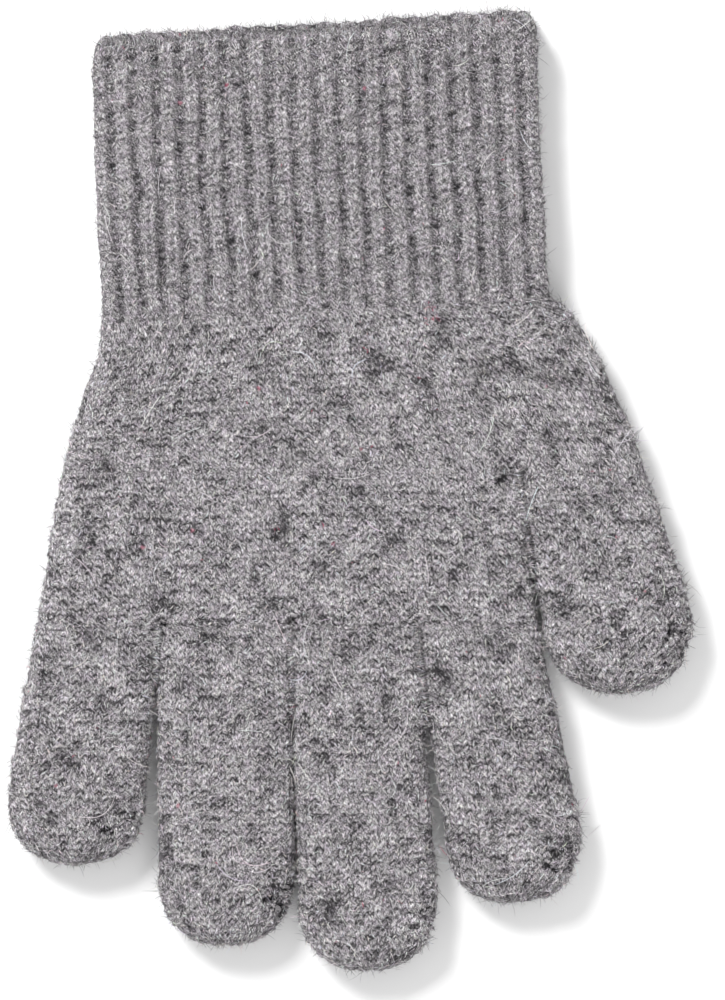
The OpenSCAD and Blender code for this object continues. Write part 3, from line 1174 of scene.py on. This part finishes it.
def crotch_puckers():
    """Places where the stitches between two roots draw the knit in."""
    level = 2 * middle_height()
    for left, right in TOUCH:
        if right == "thumb":
            x, y = side_line("palm", 1, THUMB_ROW) + THUMB_GAP / 2, THUMB_ROW
        else:
            x, y = (side_line(left, 1, FINGER_ROW) + side_line(right, -1, FINGER_ROW)) / 2, FINGER_ROW
        yield np.array([x, y + 0.6, level]), *CROTCH_PUCKER


# Turn from the thumb side of a fingertip to the place where its yarn is fastened off
CLOSING_ANGLE = math.radians(-24)


def closing_place(digit):
    """Where the yarn is fastened off: on the thumb side of the round tip."""
    plan = PLAN[digit]
    reach = plan["radius"] - 0.6
    x = plan["tip"][0] + reach * math.cos(CLOSING_ANGLE)
    y = plan["tip"][1] + reach * math.sin(CLOSING_ANGLE)
    return np.array([x, y, middle_height() + 1.2])


def split_row(points, y):
    """First row of a digit that lies past y."""
    return int(np.argmax(points[:, 0, 1] < y))


def blend_digit(piece, digit, end):
    """Bakes the piece's transform into its mesh, for root and end pieces alike."""
    if not end:
        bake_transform(piece)
        return
    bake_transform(piece)


# Length from a digit's root to the split between its root and end pieces, and a little space added past it
ROOT_BEND = 9.0
BEND_SPACE = 0.4


def make_digit(digit):
    seed = SEEDS["digits"] + 10 * DIGITS.index(digit)
    smooth_rows, inner = digit_surface(digit)
    inner = rise_and_fall(inner, with_pits=False)
    if digit == "thumb":
        parent, parent_wales = upper_palm_row(1.0), own_wales_of_hand()
    else:
        parent, parent_wales = lower_palm_row(1.0), own_wales_of_palm()
    plan = PLAN[digit]
    wale_row = carried_wales(smooth_rows[0], wales_of(digit), parent, parent_wales, plan["root"][0])
    smooth_rows = rise_and_fall(smooth_rows)
    to_end = np.linalg.norm(smooth_rows.max(1) - smooth_rows.min(1), axis=1)
    from_root = plan["root"][1] - smooth_rows[:, 0, 1]
    fade = (smooth(to_end / 4) * smooth(from_root / SEAM + 0.15))[:, None]
    smooth_rows = pucker(smooth_rows, outward(smooth_rows), closing_place(digit), 3.2, 1.3)
    outer, n, maps, relief = knit_surface(smooth_rows, wale_row, fade)
    maps_in = inner_maps(inner, wales_of(digit))
    relief_in = np.full(inner.shape[:2], 0.3)
    split_y = plan["root"][1] - ROOT_BEND - BEND_SPACE
    k, k_in = split_row(outer, split_y), split_row(inner, split_y)
    parts = {
        "root": (slice(None, k + 1), slice(None, k_in + 1)),
        "end": (slice(k, None), slice(k_in, None)),
    }
    name = "thumb" if digit == "thumb" else f"{digit}_finger"
    shells = {
        part: tube_shell(
            f"{name}_knit_{part}", outer[a], inner[b], maps[a], maps_in[b], relief[a],
            relief_in[b], plain_wool(),
        )
        for part, (a, b) in parts.items()
    }
    rng = np.random.default_rng(seed + 9)
    grooves = {"root": [groove_felt(left, right, rng) for left, right in TOUCH if right == digit]}
    for i, (part, (a, _)) in enumerate(parts.items()):
        fuzz = add_fuzz(
            f"{name}_fuzz_{part}", outer[a], n[a], maps[a], relief[a], seed + 7 + i,
            DIGIT_FELT_TONE, more=grooves.get(part, ()),
        )
        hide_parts(tube_node(digit) if part == "root" else tip_node(digit))
        for piece in (shells[part], fuzz):
            blend_digit(piece, digit, part == "end")


def inner_maps(rows, wales):
    wale = own_wales(rows.shape[1], wales)[None] * np.ones((len(rows), 1))
    return np.stack([wale, row_course(rows)[:, None] * np.ones((1, rows.shape[1]))], 2)


def row_lobes(x, names, y):
    """Height over a row, as the sections below it make it side by side."""
    total = np.zeros_like(x)
    for name in names:
        if name == "palm":
            left, floors = UPPER_LOW[0], (0.0, LEAN_ON)
        else:
            left = side_line(name, -1, y) - squeeze(name, -1, y)
            floors = leaning(name, -1, y), leaning(name, 1, y)
        right = side_line(name, 1, y) + squeeze(name, 1, y)
        inside = (x >= left - 0.03) & (x <= right + 0.03)
        total = np.maximum(total, np.where(inside, profile(x, left, right, floors), 0))
    return total


# Gap between palm and thumb at the thumb row; length over which the roots' lobes run into a palm
THUMB_GAP = 0.8
DIMPLE = 2.6


def lower_palm_row(share, inset=0.0):
    """A slice of the palm, from the thumb row at 0 to the finger row at 1."""
    y = THUMB_ROW + (FINGER_ROW - THUMB_ROW) * share
    left = UPPER_LOW[0] + (PALM_LOW[0] - UPPER_LOW[0]) * share + inset
    right = side_line("palm", 1, y) + squeeze("palm", 1, y) - inset
    near = math.exp(-(((y - FINGER_ROW) / DIMPLE) ** 2))

    def cover(x, z):
        at_row = PALM_LOW[0] + (x - left) / (right - left) * (PALM_HIGH[0] - PALM_LOW[0])
        return np.minimum(z, z * (1 - near) + row_lobes(at_row, FINGERS, FINGER_ROW) * near)

    height = lambda x: profile(x, left, right, (0.0, leaning("palm", 1, y)))
    count = settings().knit.palm_wales * COLUMNS_PER_WALE
    return np.insert(ring(left, right, height, count, inset, cover), 1, y, 1)


# The thumb's base stands out past the wrist's side, this far from the wrist line; then the
# little-finger side draws in by the neck
SWELL = (7.3, 10.0)
NECK = 1.0


def upper_palm_row(share, inset=0.0):
    """A slice of the hand, from the tilted wrist line at 0 to the level thumb row at 1."""
    half = settings().cuff.width / 2
    wrist_left = WRIST[:2] - WRIST_LINE * (half - inset)
    wrist_right = WRIST[:2] + WRIST_LINE * (half - inset)
    left_row = np.array([UPPER_LOW[0] + inset, THUMB_ROW])
    right_row = np.array([UPPER_HIGH[0] - inset, THUMB_ROW])
    swell = WRIST[:2] + WRIST_LINE * (half + SWELL[0] - inset) - CUFF_WAY * SWELL[1]
    left = wrist_left + (left_row - wrist_left) * share
    left = left + WRIST_LINE * NECK * math.sin(math.pi * min(1.0, share * 2.2))
    turn = 2 * swell - (wrist_right + right_row) / 2
    right = wrist_right * (1 - share) ** 2 + turn * 2 * share * (1 - share) + right_row * share**2
    reach = np.linalg.norm(right - left)
    near = math.exp(-(((1 - share) * (WRIST[1] - THUMB_ROW) / DIMPLE) ** 2))

    def cover(t, z):
        at_row = UPPER_LOW[0] + t / reach * (UPPER_HIGH[0] - UPPER_LOW[0])
        lobes = row_lobes(at_row, ("palm", "thumb"), THUMB_ROW)
        return np.minimum(z, z * (1 - near) + lobes * near)

    height = lambda t: edge_round(np.minimum(t, reach - t))
    count = settings().knit.hand_wales * COLUMNS_PER_WALE
    slice_tz = ring(0.0, reach, height, count, inset, cover)
    way = (right - left) / reach
    return np.column_stack([left + slice_tz[:, :1] * way, slice_tz[:, 1]])


def own_wales_of_hand():
    knit = settings().knit
    return own_wales(2 * knit.hand_wales * COLUMNS_PER_WALE + 1, knit.hand_wales)


def own_wales_of_palm():
    row, middle = lower_palm_row(0.0), (UPPER_LOW[0] + side_line("palm", 1, THUMB_ROW)) / 2
    return carried_wales(
        row, settings().knit.palm_wales, upper_palm_row(1.0), own_wales_of_hand(), middle
    )


def palm_shell(name, row_at, length, wales, wale_row, node, seed, fade_top):
    knit = settings().knit
    steps = round(length / (knit.course / ROWS_PER_COURSE))
    shares = np.linspace(0, 1, steps + 1)
    smooth_rows = np.array([row_at(share) for share in shares])
    inner = np.array([row_at(share, knit.layer) for share in shares[::ROWS_PER_COURSE]])
    if (steps % ROWS_PER_COURSE) != 0:
        inner = np.concatenate([inner, [row_at(1.0, knit.layer)]])
    smooth_rows = thumb_wrinkle(rise_and_fall(smooth_rows))
    inner = thumb_wrinkle(rise_and_fall(inner, with_pits=False))
    top_seam = 0.9 if fade_top else SEAM
    fade = smooth(shares * length / top_seam + 0.15) * smooth((1 - shares) * length / SEAM + 0.15)
    fade = fade[:, None]
    outer, n, maps, relief = knit_surface(smooth_rows, wale_row, fade)
    piece = tube_shell(
        name, outer, inner, maps, inner_maps(inner, wales), relief,
        np.full(inner.shape[:2], 0.3), plain_wool(),
    )
    fuzz = add_fuzz(f"{name}_fuzz", outer, n, maps, relief, seed, PALM_FELT_TONE)
    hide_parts(node)
    for made in (piece, fuzz):
        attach(made, "hand")


def make_lower_palm():
    length, wales = THUMB_ROW - FINGER_ROW, settings().knit.palm_wales
    palm_shell(
        "lower_palm_knit", lower_palm_row, length, wales, own_wales_of_palm(),
        "four_finger_palm", SEEDS["lower_palm"], False,
    )


def make_upper_palm():
    length, wales = WRIST[1] - THUMB_ROW, settings().knit.hand_wales
    palm_shell(
        "upper_palm_knit", upper_palm_row, length, wales, own_wales_of_hand(),
        "five_finger_palm", SEEDS["upper_palm"], True,
    )


WRINKLE = {"start": (17.0, 21.5), "end": (46.0, 17.0), "width": 2.6, "depth": 1.5}


def crease_frame(points):
    """Share of the way along the thumb's crease, and the distance to its far side."""
    start, end = np.array(WRINKLE["start"]), np.array(WRINKLE["end"])
    length = np.linalg.norm(end - start)
    way = (end - start) / length
    off = points[..., :2] - start
    return off @ way / length, off @ np.array([-way[1], way[0]])


def thumb_wrinkle(points):
    """A soft crease across the thumb's root, with a low ridge on its far side."""
    run, side = crease_frame(points)
    share = smooth(run / 0.3) * smooth((1 - run) / 0.3)
    form = -np.exp(-((side / WRINKLE["width"]) ** 2))
    form = form + 0.5 * np.exp(-(((side - 3.2) / 2.0) ** 2))
    top = smooth((points[..., 2] - middle_height()) / 2)
    made = points.copy()
    made[..., 2] += WRINKLE["depth"] * form * share * top
    return made


# ---------------------------------------------------------------- cuff

COLUMNS_PER_RIB = 10
# Width and drop of the mouth's two round corners, and how far the mouth leans sideways
CORNERS = ((4.5, 3.2), (3.0, 1.4))
MOUTH_DRIFT = 0.9


def cuff_reach(x, z):
    """Distance of the mouth from the wrist line: the upper layer is shorter, corners are round."""
    cuff = settings().cuff
    reach = cuff.length - cuff.setback * np.clip(z / GLOVE_HEIGHT, 0, 1)
    for side, (wide, drop) in zip((1, -1), CORNERS):
        t = np.clip(1 - (cuff.width / 2 + side * x) / wide, 0, 1)
        reach = reach - drop * (1 - np.sqrt(1 - 0.98 * t**2))
    return reach


def cuff_rows(v_from, v_to, spacing, inset=0.0):
    """Rows of the cuff from nearer the mouth to nearer the wrist, as shares of its length."""
    cuff, knit = settings().cuff, settings().knit
    ribs = round((cuff.width - 2 * knit.rim + math.pi * 3.6) / knit.rib)
    count = ribs * COLUMNS_PER_RIB
    half = cuff.width / 2 - inset
    height = lambda x: edge_round(np.minimum(x + half, half - x))
    slice_xz = ring(-half, half, height, count, inset)
    reach = cuff_reach(slice_xz[:, 0], slice_xz[:, 1])
    v = np.linspace(v_from, v_to, max(2, round((v_from - v_to) * cuff.length / spacing)))
    plan = WRIST[:2] + slice_xz[:, :1] * WRIST_LINE
    made = []
    for share in v:
        flat = plan + (reach * share)[:, None] * CUFF_WAY + MOUTH_DRIFT * share**2 * WRIST_LINE
        made.append(np.column_stack([flat, slice_xz[:, 1]]))
    return np.array(made), v, ribs


def rib_surface(points, v, ribs, seed):
    """Raises ribs on a smooth surface. Returns points, normals, knit map and relief."""
    cuff, knit = settings().cuff, settings().knit
    rows, columns = points.shape[:2]
    course = (1 - v)[:, None] * cuff.length / knit.rib_course * np.ones(columns)
    rib = np.linspace(0, 2 * ribs, columns)[None] * np.ones((rows, 1))
    wander = 0.05 * soft_waves(points, 19, seed + 1)
    stand, legs = rib_height(rib + wander, course + 0.5 * soft_waves(points, 25, seed + 2), seed)
    uneven = 0.85 + 0.2 * soft_waves(points, 11, seed + 3)
    grain = np.random.default_rng(seed + 5).normal(size=legs.shape) * 0.03
    n = outward(points)
    grain[:, -1] = grain[:, 0]
    settle = smooth(v * cuff.length / 3.5)[:, None]
    from_mouth = (1 - v[:, None]) * cuff.length
    clear = 0.45 + 0.55 * smooth((from_mouth + 2.5 * soft_waves(points, 9, seed + 7) - 1) / 9)
    lift = knit.rib_relief * (stand * uneven * clear - 0.75) * settle
    lift = lift + knit.relief * (1.25 * (legs - 0.3) + grain) * smooth(v * cuff.length / 0.9)[:, None]
    made = points + n * lift[..., None]
    made[:, -1] = made[:, 0]
    # The relief sets the painted shade of the rib wool: valleys between ribs and between stitch legs come
    # out darker; patchy is random tone
    patchy = 0.10 * soft_waves(points, 3.0, seed + 8) + 0.06 * soft_waves(points, 8, seed + 9)
    relief = np.clip(0.20 + 0.17 * stand * clear + 0.52 * legs + patchy, 0, 1)
    maps = np.stack([rib * 2, course], 2)
    return made, n, maps, relief


def inner_rib(v_from, v_to, spacing):
    """The inner face of the cuff, where the valleys of the outer face stand up."""
    cuff, knit = settings().cuff, settings().knit
    points, v, ribs = cuff_rows(v_from, v_to, spacing, knit.layer)
    rib = np.linspace(0, 2 * ribs, points.shape[1])[None]
    stand = smooth((np.abs(rib - np.floor(rib) - 0.5) - 0.2) / 0.2)
    lift = 0.35 * stand * np.ones((len(points), 1))
    n = outward(points)
    course = (1 - v)[:, None] * cuff.length / knit.rib_course * np.ones(points.shape[1])
    maps = np.stack([rib * 2 * np.ones((len(points), 1)), course], 2)
    # The relief returned sets painted shade: the inner face is darker away from the parts that stand up
    return points - n * lift[..., None], maps, 0.3 + 0.4 * stand * np.ones((len(points), 1))


def cuff_blend(piece):
    """Bakes the piece's transform into its mesh."""
    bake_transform(piece)


def make_cuff():
    cuff, knit = settings().cuff, settings().knit
    step = knit.rib_course / ROWS_PER_COURSE
    top = 1 - cuff.welt / cuff.length
    points, v, ribs = cuff_rows(top, 0.0, step)
    points = rise_and_fall(points)
    outer, n, maps, relief = rib_surface(points, v, ribs, SEEDS["rib"])
    inner, maps_in, relief_in = inner_rib(top, 0.0, knit.rib_course)
    piece = tube_shell("rib_cuff", outer, inner, maps, maps_in, relief, relief_in, rib_wool())
    fuzz = add_fuzz(
        "rib_cuff_fuzz", outer, n, maps, relief, SEEDS["rib_fuzz"], RIB_FELT_TONE, RIB_FELT_SHARE
    )
    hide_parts("cuff_rib")
    for made in (piece, fuzz):
        cuff_blend(made)


MOUTH_HAIRS = 1500


def mouth_hairs(rim):
    """Short fibres that stand out of the rounded edge of the cuff's mouth."""
    fuzz, rng = settings().fuzz, np.random.default_rng(SEEDS["mouth_hairs"])
    place = rim[rng.integers(0, len(rim), MOUTH_HAIRS), rng.integers(0, rim.shape[1] - 1, MOUTH_HAIRS)]
    way = np.append(CUFF_WAY, 0.0) + rng.normal(0, 0.6, (MOUTH_HAIRS, 3))
    way /= np.linalg.norm(way, axis=1, keepdims=True)
    bend = np.cross(way, rng.normal(size=(MOUTH_HAIRS, 3))) * HALO_BEND
    length = fuzz.halo_length * np.exp(rng.normal(-0.2, 0.4, (MOUTH_HAIRS, 1)))
    t = np.linspace(0, 1, 5)[None, :, None]
    stations = place[:, None] + (way * length)[:, None] * t + (bend * length)[:, None] * t**2
    radii = fuzz.halo_radius * rng.uniform(0.8, 1.4, MOUTH_HAIRS)
    return stations, radii, fibre_tones(rng, MOUTH_HAIRS, 0.5, 0.3)


def make_welt():
    cuff, knit = settings().cuff, settings().knit
    step = knit.rib_course / ROWS_PER_COURSE
    top = 1 - cuff.welt / cuff.length
    points, v, ribs = cuff_rows(1.0, top, step)
    points = rise_and_fall(points)
    outer, _, maps, relief = rib_surface(points, v, ribs, SEEDS["rib"])
    inner, maps_in, relief_in = inner_rib(1.0, top, knit.rib_course / 2)
    rib = np.linspace(0, 2 * ribs, outer.shape[1])
    scallop = 0.5 - 0.5 * np.cos(2 * math.pi * rib)
    uneven = np.random.default_rng(SEEDS["mouth_edge"]).normal(0, 0.12, 2 * ribs)
    edge = uneven[np.floor(rib).astype(int) % (2 * ribs)]
    out = (0.6 + 0.5 * scallop + 1.6 * edge)[:, None] * np.append(CUFF_WAY, 0.0)
    rounded = np.array(lip(outer[0], inner[0], out, 5))
    rows = np.concatenate([rounded[::-1], outer, inner[::-1], rounded[-1:]])
    fill = np.repeat(maps[:1], len(rounded), 0)
    fill[..., 1] -= np.linspace(1.2, 0.2, len(rounded))[:, None]
    maps_all = np.concatenate([fill, maps, maps_in[::-1], fill[:1]])
    soft = np.repeat(relief[:1], len(rounded), 0)
    relief_all = np.concatenate([soft, relief, relief_in[::-1], soft[:1]])
    piece = closed_shell("cuff_edge", rows, maps_all, relief_all, rib_wool())
    edge_rows = np.concatenate([inner[:6][::-1], rounded[::-1], outer])
    edge_maps = np.concatenate([maps_in[:6][::-1], fill, maps])
    edge_relief = np.concatenate([relief_in[:6][::-1], soft, relief])
    fuzz = add_fuzz(
        "cuff_edge_fuzz", edge_rows, outward(edge_rows), edge_maps, edge_relief,
        SEEDS["mouth_fuzz"], MOUTH_FELT_TONE, MOUTH_FELT_SHARE, more=[mouth_hairs(rounded)],
    )
    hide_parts("cuff_welt")
    for made in (piece, fuzz):
        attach(made, "cuff")


def thread(path, radius, sides=8, wave=0.14, wind=2.2):
    """Rows of a closed length of plied yarn along a path, ending in rounded points."""
    path = np.array(path, float)
    way = np.gradient(path, axis=0)
    way /= np.linalg.norm(way, axis=1, keepdims=True)
    side = np.cross(way, [0.21, 0.13, 0.97])
    side /= np.linalg.norm(side, axis=1, keepdims=True)
    up = np.cross(side, way)
    run = np.concatenate([[0], np.cumsum(np.linalg.norm(np.diff(path, axis=0), axis=1))])
    angle = np.linspace(0, 2 * math.pi, sides + 1)
    rows, maps = [], []
    for k, centre in enumerate(path):
        ends = min(run[k], run[-1] - run[k]) / radius
        r = radius * math.sqrt(max(0.0, 1 - (1 - min(1.0, ends)) ** 2))
        shape = r * (1 + wave * np.cos(2 * angle + run[k] * wind))
        spoke = np.cos(angle)[:, None] * side[k] + np.sin(angle)[:, None] * up[k]
        rows.append(centre + shape[:, None] * spoke)
        maps.append(np.stack([angle / (2 * math.pi), np.full(sides + 1, run[k])], 1))
    rows, maps = np.array(rows), np.array(maps)
    rows[:, -1] = rows[:, 0]
    return rows, maps


def thread_piece(name, path, radius, yarn, sides=8):
    rows, maps = thread(path, radius, sides)
    return closed_shell(name, rows, maps, np.full(rows.shape[:2], 0.6), yarn)


def merged(name, pieces):
    """Several closed lengths as one piece."""
    bpy.ops.object.select_all(action="DESELECT")
    for piece in pieces:
        piece.select_set(True)
    bpy.context.view_layer.objects.active = pieces[0]
    bpy.ops.object.join()
    pieces[0].name = pieces[0].data.name = name
    return pieces[0]


# Radius of the elastic, and how far inside the rib it lies, in millimetres
ELASTIC_YARN, ELASTIC_IN = 0.38, 0.25


def make_elastic():
    """Rows of covered elastic that run round the inner face of the rib."""
    cuff, knit = settings().cuff, settings().knit
    yarn = material("covered_elastic", plied_yarn, tuple(settings().colours.elastic), 3.0)
    made = []
    for i in range(cuff.elastic_rows):
        v = cuff.length - cuff.welt - cuff.elastic_pitch * (i + 0.5)
        ringed, _, _ = cuff_rows(v / cuff.length, v / cuff.length - 0.02, 1, knit.layer + ELASTIC_IN)
        path = ringed[0][::4]
        path = np.concatenate([path, path[1:3]])
        made.append(thread_piece(f"elastic_{i}", path, ELASTIC_YARN, yarn, 6))
    piece = merged("cuff_elastic_rows", made)
    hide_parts("cuff_elastic")
    cuff_blend(piece)


# ---------------------------------------------------------------- joins and closings


# Radii of the yarns, in millimetres
CROTCH_YARN, POST_YARN, TAIL_YARN = 0.34, 0.8, 0.28
LOOP_YARN = (0.30, 0.42)
LOOPS_PER_TIP = 5
LOOPS_PER_CROTCH = 3


def make_crotch_stitches():
    """Loops of yarn that tie both layers together in each crotch."""
    rng = np.random.default_rng(SEEDS["crotches"])
    for name in CROTCHES:
        node = f"{name}_crotch_join"
        low, high = box_mm(node)
        x, y = (low[0] + high[0]) / 2, (low[1] + high[1]) / 2
        row = row_of(name)
        made = []
        for i in range(LOOPS_PER_CROTCH):
            t = np.linspace(-1, 1, 17)
            lean = 0.9 + 0.4 * rng.normal()
            reach = 1.5 + 0.3 * rng.random()
            dip = 0.25 + 0.9 * i
            level = 2 * middle_height() - 0.15 - 0.35 * i
            path = np.stack(
                [
                    x + reach * t,
                    row + 2.4 - 1.3 * i + lean * t + 0.4 * np.cos(3 * t),
                    level - dip * (1 - t**2) - 0.9 * np.abs(t) ** 3,
                ],
                1,
            )
            made.append(thread_piece(f"{node}_{i}", path, CROTCH_YARN, plain_wool()))
        post = np.array([[x, y, z] for z in np.linspace(low[2] - 0.6, high[2] + 0.3, 12)])
        post[:, 0] += 0.25 * np.sin(post[:, 2] * 2)
        made.append(thread_piece(f"{node}_post", post, POST_YARN, plain_wool()))
        piece = merged(node.replace("join", "stitches"), made)
        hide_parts(node)
        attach(piece, "hand")


def spoke_way(angle):
    return np.array([math.cos(angle), math.sin(angle), 0.0])


def closing_loop(plan, i, rng):
    """One loop of yarn whipped over the edge of a tip, askew."""
    out = spoke_way(CLOSING_ANGLE + math.radians(-20 + 10 * i + rng.uniform(-4, 4)))
    aside = np.array([-out[1], out[0], 0.0])
    t = np.linspace(-1, 1, 22)[:, None]
    reach = plan["radius"] - 0.75 - rng.uniform(1.4, 2.6) * t**2
    rise = middle_height() + 0.6 + 2.9 * np.sin(1.35 * t) * rng.uniform(0.75, 1.0)
    skew = rng.uniform(-1.6, 1.6) * t + rng.uniform(-0.6, 0.6) * np.sin(3 * t)
    path = np.array([*plan["tip"], 0.0]) + out * reach + aside * skew
    path[:, 2:] += rise
    return path


def closing_tail(plan, rng):
    """The short end of the yarn, run back under the surface."""
    out = spoke_way(CLOSING_ANGLE + rng.uniform(-0.2, 0.2))
    run = np.linspace(0, 1, 16)[:, None]
    start = np.array([*plan["tip"], middle_height() + 2.4]) + out * (plan["radius"] - 3.0)
    return start + np.array([0.3, 2.4, 0.9]) * run + np.array([1.0, 0.3, 0.4]) * np.sin(3 * run)


def make_closings():
    """The yarn drawn through the last stitches of each tip, whipped over its edge."""
    for digit in DIGITS:
        plan = PLAN[digit]
        rng = np.random.default_rng(SEEDS["tips"] + DIGITS.index(digit))
        made = []
        for i in range(LOOPS_PER_TIP):
            path = closing_loop(plan, i, rng)
            radius = rng.uniform(*LOOP_YARN)
            made.append(thread_piece(f"{digit}_loop_{i}", path, radius, plain_wool()))
        tail = closing_tail(plan, rng)
        made.append(thread_piece(f"{digit}_tail", tail, TAIL_YARN, plain_wool()))
        piece = merged(f"{digit}_closing_yarn", made)
        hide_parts(f"{digit}_tip_closure")
        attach(piece, f"{digit}_end")


# ---------------------------------------------------------------- operators


class GLOVE_OT_lower_palm(bpy.types.Operator):
    """Knit the palm section that gathers the four fingers"""

    bl_idname = "glove.lower_palm"
    bl_label = "Four-finger palm"

    def execute(self, context):
        make_lower_palm()
        return {"FINISHED"}


class GLOVE_OT_upper_palm(bpy.types.Operator):
    """Knit the palm section that adds the thumb and narrows to the wrist"""

    bl_idname = "glove.upper_palm"
    bl_label = "Five-finger palm"

    def execute(self, context):
        make_upper_palm()
        return {"FINISHED"}


class GLOVE_OT_cuff(bpy.types.Operator):
    """Knit the rib cuff"""

    bl_idname = "glove.cuff"
    bl_label = "Rib cuff"

    def execute(self, context):
        make_cuff()
        return {"FINISHED"}


class GLOVE_OT_welt(bpy.types.Operator):
    """Knit the doubled edge at the mouth of the cuff"""

    bl_idname = "glove.welt"
    bl_label = "Cuff edge"

    def execute(self, context):
        make_welt()
        return {"FINISHED"}


class GLOVE_OT_elastic(bpy.types.Operator):
    """Lay the elastic rows inside the rib"""

    bl_idname = "glove.elastic"
    bl_label = "Elastic rows"

    def execute(self, context):
        make_elastic()
        return {"FINISHED"}


class GLOVE_OT_digit(bpy.types.Operator):
    """Knit one finger or the thumb, with its closed tip"""

    bl_idname = "glove.digit"
    bl_label = "Finger or thumb"

    digit: EnumProperty(
        name="Digit",
        description="Which finger",
        items=[(d, d.capitalize(), f"The {d}") for d in DIGITS],
    )

    def execute(self, context):
        make_digit(self.digit)
        return {"FINISHED"}


class GLOVE_OT_crotch_stitches(bpy.types.Operator):
    """Sew the stitches between the roots of the fingers"""

    bl_idname = "glove.crotch_stitches"
    bl_label = "Crotch stitches"

    def execute(self, context):
        make_crotch_stitches()
        return {"FINISHED"}


class GLOVE_OT_closings(bpy.types.Operator):
    """Fasten off the yarn at each fingertip"""

    bl_idname = "glove.closings"
    bl_label = "Tip closings"

    def execute(self, context):
        make_closings()
        return {"FINISHED"}


class GLOVE_OT_stage(bpy.types.Operator):
    """Set the floor, the soft light and the camera straight above"""

    bl_idname = "glove.stage"
    bl_label = "Stage"

    def execute(self, context):
        make_stage()
        return {"FINISHED"}


# Height of the picture at the glove, in metres; lens and film width, in millimetres
VIEW_HEIGHT = 0.180
CAMERA_LENS, FILM_WIDTH = 135.0, 36.0
CAMERA_OFF = (0.0019, -0.0018)
FLOOR_SIZE, FLOOR_DROP = 3.0, 0.0002
ROOM_LIGHT = 0.66
KEY_LIGHT = {"place": (-0.45, 0.60, 0.65), "size": 0.30, "power": 9.8}
FILL_LIGHT = {"place": (0.25, -0.75, 0.75), "size": 0.7, "power": 3.0}


def area_light(name, place, size, power):
    light = bpy.data.lights.new(name, "AREA")
    light.shape = "SQUARE"
    light.size = size
    light.energy = power
    lamp = bpy.data.objects.new(name, light)
    lamp.location = place
    lamp.rotation_euler = aim(place)
    bpy.context.collection.objects.link(lamp)


def aim(place):
    """Turns a lamp at a place so that it faces the origin."""
    x, y, z = place
    return (math.atan2(math.hypot(x, y), z), 0.0, math.atan2(x, -y))


def make_stage():
    bm = bmesh.new()
    bmesh.ops.create_grid(bm, x_segments=2, y_segments=2, size=FLOOR_SIZE)
    bmesh.ops.translate(bm, verts=bm.verts, vec=(0, 0, -FLOOR_DROP))
    mesh = bpy.data.meshes.new("floor")
    bm.to_mesh(mesh)
    bm.free()
    floor = new_piece("floor", mesh, material("paper_white", paper_white))
    world = bpy.data.worlds.new("soft_room")
    world.use_nodes = True
    background = world.node_tree.nodes["Background"]
    background.inputs[0].default_value = (1.0, 1.0, 1.0, 1.0)
    background.inputs[1].default_value = ROOM_LIGHT
    bpy.context.scene.world = world
    area_light("key", **KEY_LIGHT)
    area_light("fill", **FILL_LIGHT)
    camera = bpy.data.cameras.new("camera")
    camera.lens = CAMERA_LENS
    camera.sensor_width = FILM_WIDTH
    camera.clip_start = 0.01
    eye = bpy.data.objects.new("camera", camera)
    height = VIEW_HEIGHT * CAMERA_LENS / camera.sensor_width
    eye.location = (*CAMERA_OFF, height + middle_height() * MM)
    bpy.context.collection.objects.link(eye)
    bpy.context.scene.camera = eye
    bpy.context.scene.view_settings.view_transform = "Standard"


class GLOVE_PT_panel(bpy.types.Panel):
    """Lists the pieces of the glove"""

    bl_idname = "GLOVE_PT_panel"
    bl_label = "Knitted glove"
    bl_space_type = "VIEW_3D"
    bl_region_type = "UI"
    bl_category = "Glove"

    def draw(self, context):
        for operator in OPERATORS:
            self.layout.operator(operator.bl_idname)
        for group in ("knit", "cuff", "fuzz", "colours"):
            values = getattr(context.scene.glove, group)
            for name in values.__annotations__:
                self.layout.prop(values, name)


OPERATORS = (
    GLOVE_OT_lower_palm,
    GLOVE_OT_upper_palm,
    GLOVE_OT_cuff,
    GLOVE_OT_welt,
    GLOVE_OT_elastic,
    GLOVE_OT_digit,
    GLOVE_OT_crotch_stitches,
    GLOVE_OT_closings,
    GLOVE_OT_stage,
)
GROUPS = (KnitSettings, CuffSettings, FuzzSettings, WoolColours, GloveSettings)


def register():
    for cls in GROUPS + OPERATORS + (GLOVE_PT_panel,):
        bpy.utils.register_class(cls)
    bpy.types.Scene.glove = PointerProperty(type=GloveSettings)


def unregister():
    del bpy.types.Scene.glove
    for cls in reversed(GROUPS + OPERATORS + (GLOVE_PT_panel,)):
        bpy.utils.unregister_class(cls)


def main():
    register()
    bpy.ops.glove.stage()
    bpy.ops.glove.lower_palm()
    bpy.ops.glove.upper_palm()
    bpy.ops.glove.cuff()
    bpy.ops.glove.welt()
    bpy.ops.glove.elastic()
    for digit in DIGITS:
        bpy.ops.glove.digit(digit=digit)
    bpy.ops.glove.crotch_stitches()
    bpy.ops.glove.closings()


if __name__ == "__main__":
    main()
